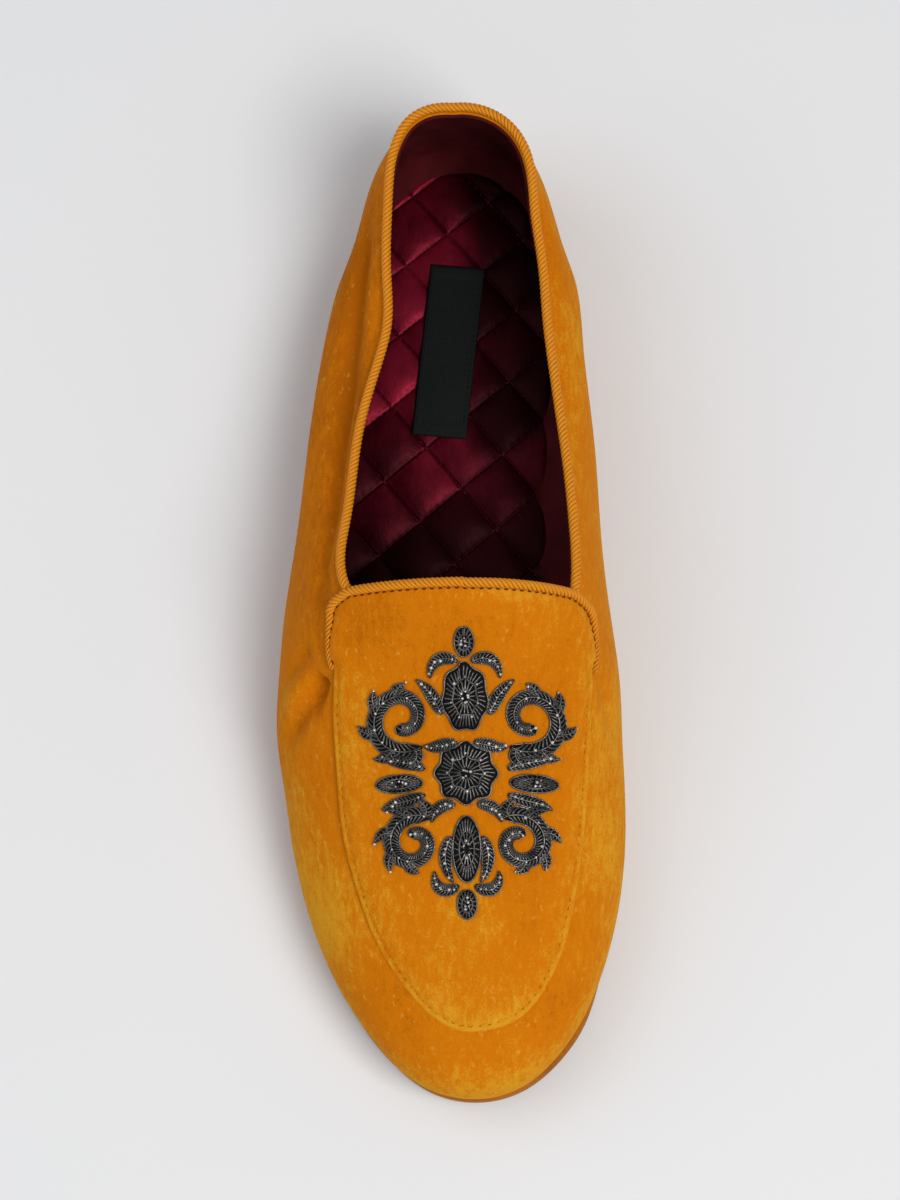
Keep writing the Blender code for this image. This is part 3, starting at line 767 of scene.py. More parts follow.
def spline(places: Any, values: Any) -> Curve:
    """Return a natural cubic spline through the values, held at its ends."""
    x = np.asarray(places, float)
    y = np.asarray(values, float)
    h = np.diff(x)
    system = np.eye(len(x))
    right = np.zeros(len(x))
    for i in range(1, len(x) - 1):
        system[i, i - 1 : i + 2] = h[i - 1], 2 * (h[i - 1] + h[i]), h[i]
        right[i] = 6 * ((y[i + 1] - y[i]) / h[i] - (y[i] - y[i - 1]) / h[i - 1])
    bend = np.linalg.solve(system, right)

    def evaluate(at: Any) -> Any:
        """Return the spline's value at one or many places."""
        at = np.clip(at, x[0], x[-1])
        i = np.clip(np.searchsorted(x, at) - 1, 0, len(x) - 2)
        a = x[i + 1] - at
        b = at - x[i]
        edge = (bend[i] * a**3 + bend[i + 1] * b**3) / (6 * h[i])
        left = (y[i] / h[i] - bend[i] * h[i] / 6) * a
        return edge + left + (y[i + 1] / h[i] - bend[i + 1] * h[i] / 6) * b

    return evaluate


def station(s: Any) -> Any:
    """Turn a share of the length into a station, which closes both ends of an outline round."""
    return np.arccos(1 - 2 * np.clip(s, 0, 1)) / math.pi


def share(t: Any) -> Any:
    """Turn a station back into a share of the length."""
    return (1 - np.cos(math.pi * t)) / 2


def column(table: Table, name: str, size: float = 1.0) -> Curve:
    """Return a spline over the stations of a table's column."""
    return spline(station(np.array(table["s"])), np.array(table[name]) * size)


@dataclass
class Last:
    """The form of the shoe: the same functions and sizes as the CAD part's."""

    length: float = 0.300
    ball_width: float = 0.1046
    instep_height: float = 0.073
    back_height: float = 0.060
    heel_height: float = 0.009
    sole_thickness: float = 0.004
    toe_spring: float = 0.007
    swell_height: float = 0.013
    wall: float = 0.002
    gap: float = 0.0003
    lay_gap: float = 0.0007
    strip_thickness: float = 0.001
    heel_tuck: float = 0.0035
    toe_rim: float = 0.0017
    seat_inset: float = 0.0020
    heel_lean: float = 0.0045
    heel_breast: float = 0.25
    flat_from: float = 0.58
    flat_to: float = 0.72
    throat: float = 0.53
    notch: float = 0.596
    apron_tip: float = 0.943
    roundness: float = 2.1
    swell_share: float = 0.24
    spring_power: float = 1.8
    side: dict[Side, Curve] = field(init=False)

    def __post_init__(self) -> None:
        """Make the splines of the tables."""
        half = self.ball_width / 2
        self.heel_y = self.length / 2 - self.strip_thickness - self.lay_gap
        self.toe_y = -self.length / 2
        self.run = self.heel_y - self.toe_y
        reach = np.linspace(0, 1, 400)
        low = column(LAST_SECTIONS, "lat", half)(reach).min()
        high = column(LAST_SECTIONS, "med", half)(reach).max()
        centre = (low + high) / 2

        def line(table: Table, name: str) -> Curve:
            """Return a sideways column with the widest line centred on x = 0."""
            curve = column(table, name, half)
            return lambda t: curve(t) - centre

        names = {Side.LATERAL: "lat", Side.MEDIAL: "med"}
        self.sole_side = {side: line(SOLE_OUTLINE, name) for side, name in names.items()}
        self.side = {side: line(LAST_SECTIONS, name) for side, name in names.items()}
        self.ridge = line(LAST_SECTIONS, "ridge")
        sections = LAST_SECTIONS
        self.rise = {k: column(sections, "swell_" + n, self.swell_height) for k, n in names.items()}
        self.vamp_rise = {k: column(sections, "vamp_" + n, self.instep_height) for k, n in names.items()}
        self.collar = {k: column(COLLAR_LINE, n, self.back_height) for k, n in names.items()}
        turn = np.arcsin((np.array(APRON_LINE["s"]) - self.throat) / (self.apron_tip - self.throat))
        self.apron_reach = {k: spline(turn, APRON_LINE[n]) for k, n in names.items()}

    def y_of(self, s: Any) -> Any:
        """Return y at a share of the length."""
        return self.heel_y - self.run * s

    def share_at(self, y: Any) -> Any:
        """Return the share of the length at y."""
        return (self.heel_y - y) / self.run

    def sole_bottom(self, y: Any) -> Any:
        """Return the underside's height: heel seat, arch, flat tread and toe spring."""
        s = np.clip(self.share_at(y), 0, 1)
        arch = np.clip((self.flat_from - s) / (self.flat_from - self.heel_breast), 0, 1)
        spring = np.clip((s - self.flat_to) / (1 - self.flat_to), 0, 1)
        return self.heel_height * arch**2 * (3 - 2 * arch) + self.toe_spring * spring**self.spring_power

    def sole_top(self, y: Any) -> Any:
        """Return the height of the sole's upper face."""
        return self.sole_bottom(y) + self.sole_thickness

    def sole_point(self, side: Side, t: Any, inset: float = 0.0) -> tuple[Any, Any]:
        """Return x and y on the sole's outline, kept inside it by an inset."""
        low, high = self.sole_side[Side.LATERAL](t), self.sole_side[Side.MEDIAL](t)
        half = (high - low) / 2
        back = self.heel_y - self.heel_tuck - inset
        front = self.toe_y + inset
        kept = half - inset * np.minimum(1, half / (4 * inset)) if inset else half
        return (low + high) / 2 + side.value * kept, back + (front - back) * share(t)

    def swell_y(self, t: Any) -> Any:
        """Return y of a station on the widest line."""
        return self.heel_y + (self.toe_y + self.toe_rim - self.heel_y) * share(t)

    def swell_station(self, y: Any) -> Any:
        """Return the station on the widest line at y."""
        return station((self.heel_y - y) / (self.heel_y - self.toe_y - self.toe_rim))

    def swell_point(self, side: Side, t: Any) -> tuple[Any, Any, Any]:
        """Return the point on the widest line at a station."""
        y = self.swell_y(t)
        return self.side[side](t), y, self.sole_top(y) + self.rise[side](t)

    def lower_wall(self, side: Side, t: Any, q: Any) -> Array:
        """Return a point from the feather edge (q = 0) out to the widest line (q = 1)."""
        x0, y0 = self.sole_point(side, t, self.seat_inset)
        z0 = self.sole_top(y0) + self.gap
        x1, y1, z1 = self.swell_point(side, t)
        out = 1 - (1 - q) ** 2
        return np.stack([x0 + (x1 - x0) * out, y0 + (y1 - y0) * out, z0 + (z1 - z0) * q], -1)

    def upper_wall(self, side: Side, t: Any, q: Any) -> Array:
        """Return a point from the widest line (q = 0) up to the collar (q = 1)."""
        x, y, z = self.swell_point(side, t)
        climb = (self.collar[side](t) - z) / self.vamp_rise[side](t) * q
        ridge = self.ridge(t)
        inward = (1 - np.clip(climb, 0, 1) ** self.roundness) ** (1 / self.roundness)
        fade = np.clip(1 - t / station(self.throat), 0, 1) ** 2
        lean = self.heel_lean * q**2 * fade
        return np.stack([ridge + (x - ridge) * inward, y - lean, z + self.vamp_rise[side](t) * climb], -1)

    def wall_point(self, side: Side, t: Any, v: Any) -> Array:
        """Return a point of the outside from the feather edge (v = 0) to the collar (v = 1)."""
        t, v = np.broadcast_arrays(np.asarray(t, float), np.asarray(v, float))
        low = self.lower_wall(side, t, np.clip(v / self.swell_share, 0, 1))
        high = self.upper_wall(side, t, np.clip((v - self.swell_share) / (1 - self.swell_share), 0, 1))
        return np.where((v < self.swell_share)[..., None], low, high)

    def vamp(self, x: Any, y: Any) -> Array:
        """Return the point of the vamp above a plan point: a rounded arch over each cross section."""
        x, y = np.broadcast_arrays(np.asarray(x, float), np.asarray(y, float))
        t = self.swell_station(y)
        ridge = self.ridge(t)
        med = x > ridge
        pick = [np.where(med, curves[Side.MEDIAL](t), curves[Side.LATERAL](t)) for curves in self._arches()]
        span = pick[0] - ridge
        out = np.clip((x - ridge) / np.where(abs(span) < 1e-6, 1e-6, span), 0, 1)
        base = self.sole_top(self.swell_y(t)) + pick[1]
        return np.stack([x, y, base + pick[2] * (1 - out**self.roundness) ** (1 / self.roundness)], -1)

    def _arches(self) -> tuple[dict[Side, Curve], ...]:
        """Return the curves of the widest line, its height and the vamp's rise."""
        return self.side, self.rise, self.vamp_rise

    def vamp_normal(self, x: Any, y: Any, step: float = 0.0004) -> Array:
        """Return the outward unit normal of the vamp above a plan point."""
        across = self.vamp(x + step, y) - self.vamp(x - step, y)
        along = self.vamp(x, y + step) - self.vamp(x, y - step)
        return unit(np.cross(across, along))

    def raised(self, x: Any, y: Any, lift: Any) -> Array:
        """Return the point a lift above the vamp."""
        return self.vamp(x, y) + self.vamp_normal(x, y) * np.asarray(lift)[..., None]

    def apron_edge(self, side: Side, s: Any) -> tuple[Any, Any]:
        """Return x and y on the apron's edge."""
        turn = np.arcsin(np.clip((s - self.throat) / (self.apron_tip - self.throat), 0, 1))
        y = self.y_of(s)
        t = self.swell_station(y)
        ridge = self.ridge(t)
        return ridge + (self.side[side](t) - ridge) * self.apron_reach[side](turn), y


LAST = Last()


# Upper


class Fold(NamedTuple):
    """One soft trough (depth below 0) or ridge, along a line that is seen from above."""

    line: tuple[tuple[float, float], ...]  # share of the length, and sideways share of half the ball width
    depth: float
    width: float
    start: float = 0.25  # share of the line over which it rises to its depth
    end: float = 0.25


FOLDS = (
    Fold(
        ((0.09, -0.445), (0.18, -0.525), (0.26, -0.568), (0.41, -0.612), (0.55, -0.655)),
        -0.0036, 0.0040, 0.15, 0.1,
    ),
    Fold(((0.10, -0.60), (0.24, -0.70), (0.38, -0.78), (0.50, -0.84)), 0.0014, 0.0070, 0.2, 0.3),
    Fold(((0.597, -0.675), (0.614, -0.74), (0.632, -0.83), (0.655, -0.94)), -0.0031, 0.0033, 0.06, 0.40),
    Fold(((0.590, -0.76), (0.606, -0.84), (0.622, -0.95)), 0.0015, 0.0046, 0.4, 0.4),
    Fold(((0.570, -0.74), (0.578, -0.82), (0.588, -0.92)), -0.0016, 0.0030, 0.15, 0.4),
    Fold(((0.598, -0.68), (0.622, -0.715), (0.65, -0.745)), -0.0016, 0.0022, 0.05, 0.6),
    Fold(
        ((0.075, 0.53), (0.15, 0.605), (0.21, 0.628), (0.32, 0.65), (0.44, 0.67)),
        -0.0026, 0.0036, 0.15, 0.35,
    ),
    Fold(((0.12, 0.70), (0.24, 0.76), (0.36, 0.80)), 0.0009, 0.0060),
    Fold(((0.592, 0.88), (0.62, 0.92), (0.66, 0.96)), -0.0012, 0.0032, 0.1, 0.5),
    Fold(((0.72, -0.78), (0.80, -0.70), (0.86, -0.60)), -0.0006, 0.0060, 0.4, 0.4),
)


@dataclass
class Upper:
    """The velvet upper, its lining, collar piping and back strip."""

    velvet_thickness: float = 0.0011
    side_ribs: int = 150
    toe_ribs: int = 110
    low_levels: int = 12
    high_levels: int = 46
    throat_blend: float = 0.15
    toe_swell: tuple[float, float] = (0.0019, 0.0023)  # big-toe side and outer side
    piping_radius: float = 0.0015
    piping_stop: float = 0.0012
    piping_sunk: float = 0.0005
    collar_fade: tuple[float, float] = (0.01, 0.12)  # levels below the collar over which folds grow
    feather_fade: float = 0.2  # level up to which they grow from below
    # painted highlights on fold ridges and painted darkening in fold troughs, at full strength at this height
    fold_full: float = 0.0030  # height that gives a fold's full shade
    fold_shade: float = 0.42
    # painted darkening of the outer side, its back and the toe cap; painted sheen on the outer vamp, the
    # big-toe side and the rim near the sole
    outer_shade: float = 0.28
    back_shade: float = 0.42
    toe_shade: float = 0.34
    vamp_shade: float = 0.12
    inner_shade: float = 0.32
    rim_shade: float = 0.24
    strip_width: float = 0.017
    strip_top: float = 0.985
    strip_foot: float = 0.055
    strip_seam: float = 0.78  # share of the half width
    strip_lift: float = 0.0001

    def grid(self) -> tuple[Array, Array]:
        """Work out the outside as ribs closed round the shoe.

        Behind the throat a rib is the wall at one station. Ahead of it a rib runs in plan from the
        widest line to the throat's straight edge, first square to the outline, at the vamp's height.

        Returns:
            The points, ribs by levels by 3, and the level of each point.
        """
        low = np.linspace(0, 1, self.low_levels)[:-1]
        high = np.linspace(0, 1, self.high_levels)
        split = LAST.swell_share
        levels = np.concatenate([low * split, split + high * (1 - split)])
        throat = float(LAST.swell_station(LAST.y_of(LAST.throat)))
        back = np.linspace(0, throat, self.side_ribs)[:, None]
        medial = LAST.wall_point(Side.MEDIAL, back, levels)
        lateral = LAST.wall_point(Side.LATERAL, back, levels)
        turn = np.arange(1, 2 * self.toe_ribs)[:, None] / (2 * self.toe_ribs)
        t = throat + (1 - throat) * (1 - abs(1 - 2 * turn))
        front = []
        for side, wall, rows in (
            (Side.MEDIAL, medial[-1], turn[:, 0] < 0.5),
            (Side.LATERAL, lateral[-1], turn[:, 0] >= 0.5),
        ):
            at, bent = t[rows], turn[rows]
            feather = LAST.lower_wall(side, at, low)
            start = np.stack(LAST.swell_point(side, at)[:2], -1)
            end = medial[-1, -1, :2] * (1 - bent)[..., None] + lateral[-1, -1, :2] * bent[..., None]
            climb = wall[self.low_levels - 1 :, 0]
            near = (climb - climb[0]) / (climb[-1] - climb[0])
            far = (1 - np.cos(high * math.pi / 2)) * (1 - high) + high * high
            ahead = smooth(np.minimum(bent, 1 - bent), 0, self.throat_blend)
            reach = near * (1 - ahead) + far * ahead
            plan = start + (end - start) * reach[..., None]
            front.append(np.concatenate([feather, LAST.vamp(plan[..., 0], plan[..., 1])], axis=1))
        points = np.concatenate([medial, *front, lateral[::-1][:-1]])
        return points, np.broadcast_to(levels, points.shape[:2])

    def folds(self, points: Array, levels: Array) -> Array:
        """Return how far the folds move each point outwards.

        A fold is a bell curve over the distance from its line. Folds die away at the collar, at
        the feather edge and under the apron.
        """
        half = LAST.ball_width / 2
        moved = np.zeros(points.shape[:2])
        above = levels >= LAST.swell_share
        for fold in FOLDS:
            plan = np.array([(beside * half, LAST.y_of(at)) for at, beside in fold.line])
            away = np.linalg.norm(points[..., None, :2] - plan, axis=-1) + np.where(above, 0, 1)[..., None]
            nearest = away.reshape(-1, len(plan)).argmin(axis=0)
            gap, along = distance_to(points, points.reshape(-1, 3)[nearest])
            fade = smooth(along, -1e-6, fold.start) * smooth(1 - along, -1e-6, fold.end)
            moved += fold.depth * fade * bell(gap, 0, fold.width)
        moved *= smooth(1 - levels, *self.collar_fade) * smooth(levels, 0.0, self.feather_fade)
        return moved * self.clear_of_apron(points)

    def toe_fullness(self, points: Array, levels: Array) -> Array:
        """Return how far the padded toe stands out round its widest line, most on the outer side."""
        s = LAST.share_at(points[..., 1])
        outer = smooth(-points[..., 0], -0.01, 0.02)
        band = smooth(levels, 0, LAST.swell_share * 0.8) * (1 - smooth(levels, LAST.swell_share, 0.62))
        inner_swell, outer_swell = self.toe_swell
        return band * smooth(s, 0.62, 0.84) * (inner_swell + (outer_swell - inner_swell) * outer)

    def clear_of_apron(self, points: Array) -> Array:
        """Return 0 under the apron and 1 from a few millimetres outside it."""
        s = LAST.share_at(points[..., 1])
        kept = np.clip(s, LAST.throat, LAST.apron_tip)
        clear = np.full(s.shape, 1.0)
        for side in Side:
            edge, _ = LAST.apron_edge(side, kept)
            outside = (points[..., 0] - edge) * side.value
            half = smooth(outside, 0.0, 0.004)
            own = (points[..., 0] > LAST.ridge(LAST.swell_station(points[..., 1]))) == (side is Side.MEDIAL)
            clear = np.where(own, half, clear)
        ahead = smooth(s, LAST.throat - 0.02, LAST.throat)
        return np.where(s > LAST.apron_tip, 1.0, 1 - ahead * (1 - clear))

    def shade(self, points: Array, moved: Array) -> Array:
        """Return the painted light and shading of the pile: light at the rim, darker in troughs, on the outer
        side and the toe cap.
        """
        x, y = points[..., 0], points[..., 1]
        s = LAST.share_at(y)
        outer = smooth(-x, 0.012, 0.034) * smooth(s, 0.02, 0.12) * (1 - smooth(s, 0.50, 0.66))
        vamp = smooth(-x, 0.01, 0.04) * smooth(s, 0.55, 0.62) * (1 - smooth(s, 0.90, 1.0))
        inner = smooth(x, 0.012, 0.034) * (1 - smooth(s, 0.62, 0.9))
        back = smooth(-x, 0.016, 0.030) * (1 - smooth(s, 0.30, 0.42))
        above = points[..., 2] - LAST.sole_top(y)
        rim = 1 - smooth(above, 0.004, 0.02)
        cap = smooth(s, 0.86, 0.92) * smooth(above, 0.010, 0.022)
        # painted darkening on the outer side, its back and the toe cap; painted sheen and light on the outer
        # vamp, the big-toe side and the rim
        dark = outer * self.outer_shade + back * self.back_shade + cap * self.toe_shade
        light = vamp * self.vamp_shade + inner * self.inner_shade + rim * self.rim_shade
        # fold troughs get painted darkening and fold ridges painted highlights
        return np.clip(moved / self.fold_full, -1, 1) * self.fold_shade + light - dark

    def build(self) -> None:
        """Build the velvet outside and the lining inside it."""
        base, levels = self.grid()
        moved = self.folds(base, levels) + self.toe_fullness(base, levels)
        normals = grid_normals(base, wrap=True)
        normals *= np.sign((normals * (base - np.array([0, 0, 0.02]))).sum(-1).mean())
        outer = base + normals * moved[..., None]
        skin = outer - normals * self.velvet_thickness
        inner = outer - normals * LAST.wall
        # painted light and shading of the pile, on both faces of the velvet
        tone = both_faces(self.shade(outer, moved))
        add_piece("upper_velvet", shell(outer, skin, wrap=True), Finish.VELVET, ["upper"], tone)
        add_piece("upper_lining", shell(skin, inner, wrap=True), Finish.LINING)
        self.build_piping()
        self.build_strip()

    def collar_path(self, steps: int = 260) -> tuple[Array, Array]:
        """Return the middle of the collar's piping and the direction that points out of the wall's edge."""
        throat = float(LAST.swell_station(LAST.y_of(LAST.throat) + self.piping_stop))
        t = np.linspace(0, throat, steps)
        near, step = 0.97, 0.01
        paths, ups = [], []
        for side, stations in ((Side.LATERAL, t[::-1]), (Side.MEDIAL, t[1:])):
            rim = LAST.wall_point(side, stations, 1.0)
            along = unit(rim - LAST.wall_point(side, stations, near))
            after = LAST.wall_point(side, np.clip(stations + step, 0, 1), 1.0)
            before = LAST.wall_point(side, np.clip(stations - step, 0, 1), 1.0)
            inward = unit(np.cross(along, after - before) * side.value)
            paths.append(rim + inward * LAST.wall / 2 + along * (self.piping_radius - self.piping_sunk))
            ups.append(along)
        return np.concatenate(paths), np.concatenate(ups)

    def build_piping(self) -> None:
        """Build the rope piping on the collar."""
        path, up = self.collar_path()
        solid, uv = Rope(self.piping_radius).solid(path, up)
        add_piece("collar_piping_rope", solid, Finish.SILK, ["collar_piping"], uv=uv)

    def build_strip(self) -> None:
        """Build the back strip, rounded at its edges and stitched down along both."""
        reach = np.linspace(0, float(station(0.12)), 200)
        half = (LAST.side[Side.MEDIAL](reach) - LAST.side[Side.LATERAL](reach)) / 2
        edge = float(np.interp(self.strip_width / 2, half, reach))
        levels = np.linspace(self.strip_foot, self.strip_top, 60)
        across = np.linspace(-1, 1, 33)
        sides = [Side.MEDIAL if a > 0 else Side.LATERAL for a in across]
        grid = np.array([LAST.wall_point(side, abs(a) * edge, levels) for side, a in zip(sides, across)])
        out = grid_normals(grid)
        out *= np.sign(out[..., 1].mean())
        near = 1 - abs(across)[:, None] * np.ones(len(levels))
        seam = bell(near, 1 - self.strip_seam, 0.05) * 0.30
        lift = LAST.lay_gap + LAST.strip_thickness * (rounded(near / 0.10) - seam)
        solid = shell(grid + out * lift[..., None], grid + out * self.strip_lift)
        add_piece("heel_strip_velvet", solid, Finish.VELVET, ["heel_strip"])
        places = [int(round((1 + sign * self.strip_seam) / 2 * (len(across) - 1))) for sign in (-1, 1)]
        sewn = grid + out * (lift[..., None] - Seam.HEEL_STRIP.value.sunk)
        add_stitches(Seam.HEEL_STRIP, [sewn[k] for k in places], [out[k] for k in places])


@dataclass
class Rope:
    """A cord of twisted strands."""

    radius: float
    strands: int = 4
    lay: float = 0.0056  # length of one turn
    strand_share: float = 0.43
    sides: int = 7
    steps_per_turn: int = 16

    def solid(self, path: Array, up: Array, girth: Array | float = 1.0) -> tuple[tuple[Array, Array], Array]:
        """Work out the strands: each winds round the path as a helix and is swept as a tube.

        Args:
            path: points of the cord's middle.
            up: a direction across the path at each of them.
            girth: share of the radius at each of them.

        Returns:
            Points and quads, and the UV of each corner: metres along and turns round the strand.
        """
        total = float(line_length(path)[-1])
        steps = int(total / self.lay * self.steps_per_turn)
        places = np.linspace(0, total, steps)
        middle = walk(path, places)
        run = unit(np.gradient(middle, axis=0))
        side = unit(np.cross(run, walk_vectors(path, up, places)))
        above = np.cross(side, run)
        first = np.arange(self.strands)[:, None] * math.tau / self.strands
        turn = places / self.lay * math.tau + first
        spoke = np.cos(turn)[..., None] * above + np.sin(turn)[..., None] * side
        size = self.radius * np.interp(places, line_length(path), girth * np.ones(len(path)))
        strand = size * self.strand_share
        ends = rounded(np.minimum(places, total - places) / self.radius)
        centres = middle + spoke * ((size - strand) * ends)[:, None]
        points, quads = tubes(centres, spoke, strand * ends, self.sides)
        ring = np.arange(steps * self.sides)
        corner = quads % (steps * self.sides)
        along = places[ring[corner] // self.sides]
        round_it = (ring[corner] % self.sides) / self.sides
        wrapped = round_it.max(axis=1, keepdims=True) - round_it > 0.5
        return (points, quads), np.stack([along, round_it + wrapped], -1)


def walk_vectors(path: Array, vectors: Array, places: Array) -> Array:
    """Return unit vectors at given distances along a path."""
    run = line_length(path)
    return unit(np.stack([np.interp(places, run, vectors[:, k]) for k in range(3)], -1))


class Stitch(NamedTuple):
    """How a seam is sewn."""

    piece: str
    finish: Finish
    slot: str
    pitch: float  # from one stitch to the next
    length: float
    radius: float
    sunk: float = 0.0  # below the cloth's face


class Seam(Enum):
    """The seams whose stitches show."""

    APRON = Stitch("apron_seam_stitches", Finish.GOLD_THREAD, "velvet_apron", 0.0027, 0.0017, 0.00013, 0.0005)
    # stitches in dark thread that also paint the shadow line under the tab's piping
    TAB = Stitch("tab_stitches", Finish.SHADOW_THREAD, "velvet_apron", 0.0024, 0.0017, 0.00022)
    HEEL_STRIP = Stitch("heel_strip_stitches", Finish.GOLD_THREAD, "velvet", 0.0030, 0.0019, 0.00022, 0.00008)
    OUTSOLE = Stitch("outsole_stitches", Finish.GOLD_THREAD, "sole_leather", 0.0036, 0.0026, 0.00016)
    QUILT = Stitch("insole_stitches", Finish.RED_THREAD, "satin", 0.0026, 0.0018, 0.00014, -0.00005)
    LABEL = Stitch("label_stitches", Finish.DARK_THREAD, "label", 0.0019, 0.0013, 0.00012)


def add_stitches(seam: Seam, lines: Sequence[Array], ups: Sequence[Array]) -> bpy.types.Object:
    """Make a row of stitches along each line: short arched tubes that dive into the cloth.

    Args:
        seam: how they are sewn.
        lines: points of each row, on the cloth.
        ups: the cloth's normals at those points.

    Returns:
        The object.
    """
    piece, finish, slot, pitch, length, radius, _ = seam.value
    across = np.linspace(-0.5, 0.5, STITCH_STEPS)
    centres, directions = [], []
    for line, up in zip(lines, ups):
        total = float(line_length(line)[-1])
        starts = np.arange(pitch, total - pitch / 2, pitch)[:, None] + across * length
        over = walk_vectors(line, up, starts.ravel()).reshape(*starts.shape, 3)
        arch = radius * (1.1 - 9.0 * across**2)
        centres.append(walk(line, starts.ravel()).reshape(*starts.shape, 3) + over * arch[:, None])
        directions.append(over)
    radii = radius * rounded_ends(STITCH_STEPS, 0.2)
    solid = tubes(np.concatenate(centres), np.concatenate(directions), radii, STITCH_SIDES)
    return add_piece(piece, solid, finish)


# Apron


@dataclass
class Apron:
    """The apron: a layer over the vamp, stitched down to a U seam, with a free piped tab."""

    thickness: float = 0.0013
    piping_radius: float = 0.0015
    piping_taper: float = 0.36
    side_steps: int = 120
    tab_stitch_inset: float = 0.0005
    # sideways middle of the painted darkening below the tab's top
    tab_middle: float = -0.002
    seam_inset: float = 0.0017
    sewn_roll: float = 0.0022
    free_roll: float = 0.0018
    groove_width: float = 0.0007
    groove_depth: float = 0.0004
    swell_height: float = 0.0003
    pucker_height: float = 0.00012
    least_thickness: float = 0.0001
    # weights of the painted sheen along the apron's edges and of the painted darkening at the tab
    rim_shade: float = 0.24
    edge_shade: float = 0.34
    corner_shade: float = 0.48
    rows: int = 150
    tab_rows: int = 40
    columns: int = 90

    def rows_at(self) -> Array:
        """Return the shares of the length of the rows, closer round the tab and at the tip."""
        tab = np.linspace(0, 1, self.tab_rows)[:-1] ** 1.4 * (LAST.notch - LAST.throat)
        return np.concatenate([LAST.throat + tab, self.sewn_shares(self.rows)])

    def sewn_shares(self, steps: int) -> Array:
        """Return shares of the length from the notch to the tip, even round the sewn edge's arc."""
        span = LAST.apron_tip - LAST.throat
        notch = math.asin((LAST.notch - LAST.throat) / span)
        return LAST.throat + span * np.sin(np.linspace(notch, math.pi / 2, steps))

    def edge_line(self, steps: int = 400) -> Array:
        """Return plan points round the sewn edge, from the lateral notch by the tip to the medial one."""
        s = self.sewn_shares(steps)
        lateral = np.stack(LAST.apron_edge(Side.LATERAL, s), -1)
        medial = np.stack(LAST.apron_edge(Side.MEDIAL, s), -1)
        return np.concatenate([lateral, medial[::-1][1:]])

    def tab_line(self, steps: int) -> Array:
        """Return plan points round the tab's free edge, from its lateral notch to its medial one."""
        s = np.linspace(LAST.notch, LAST.throat, steps)
        lateral = np.stack(LAST.apron_edge(Side.LATERAL, s), -1)
        medial = np.stack(LAST.apron_edge(Side.MEDIAL, s[::-1]), -1)
        a = np.linspace(0, 1, 2 * steps)[1:-1, None]
        return np.concatenate([lateral, lateral[-1] * (1 - a) + medial[0] * a, medial])

    def build(self) -> None:
        """Build the apron, its seam and its piping."""
        s = self.rows_at()
        left, y = LAST.apron_edge(Side.LATERAL, s)
        right, _ = LAST.apron_edge(Side.MEDIAL, s)
        across = (1 - np.cos(np.linspace(0, math.pi, self.columns))) / 2
        x = left[:, None] * (1 - across) + right[:, None] * across
        y = np.broadcast_to(y[:, None], x.shape)
        plan = np.stack([x, y], -1)
        from_seam, along = distance_to(plan, self.edge_line(60))
        from_tab, _ = distance_to(plan, self.tab_line(40))
        edge = rounded(from_seam / self.sewn_roll) * (0.35 + 0.65 * rounded(from_tab / self.free_roll))
        groove = bell(from_seam, self.seam_inset, self.groove_width)
        swell = bell(from_seam, 0.0050, 0.0026) * self.swell_height
        swell += bell(from_tab, 0.0032, 0.0018) * self.swell_height
        ripple = np.sin(along * 95.0) * np.sin(along * 37.0)
        pucker = ripple * bell(from_seam, 0.003, 0.003) * self.pucker_height
        top = LAST.lay_gap + self.thickness * edge - groove * self.groove_depth + swell + pucker
        bottom = np.minimum(np.full(x.shape, LAST.lay_gap * 0.4), top - self.least_thickness)
        outer = LAST.raised(x, y, top)
        inner = LAST.raised(x, y, bottom)
        # painted darkening below the tab's top and at its outer corner, painted sheen along the edges,
        # painted darkening in the seam's groove, and lighter towards the toe
        ahead = LAST.y_of(LAST.throat) - y
        corner = bell(x, self.tab_middle, 0.027) * bell(ahead, 0, 0.020)
        corner += bell(x - left[:, None], 0.009, 0.010) * bell(ahead, 0.006, 0.014) * 0.7
        from_rim = np.minimum(from_seam, from_tab)
        rim = bell(from_rim, 0, 0.010) * self.rim_shade + bell(from_rim, 0, 0.0035) * self.edge_shade
        shade = rim - corner * self.corner_shade - groove * 0.12 - 0.06 + smooth(-y, 0.09, 0.13) * 0.12
        solid = shell(outer, inner)
        add_piece("apron_velvet", solid, Finish.VELVET, ["apron"], both_faces(shade))
        self.build_seam()
        self.build_piping()

    def build_seam(self) -> None:
        """Build the stitches just inside the sewn edge."""
        edge = self.edge_line(300)
        plan = edge + beside_line(edge) * self.seam_inset
        face = LAST.lay_gap + self.thickness - Seam.APRON.value.sunk
        line = LAST.raised(plan[:, 0], plan[:, 1], np.full(len(plan), face))
        add_stitches(Seam.APRON, [line], [LAST.vamp_normal(plan[:, 0], plan[:, 1])])

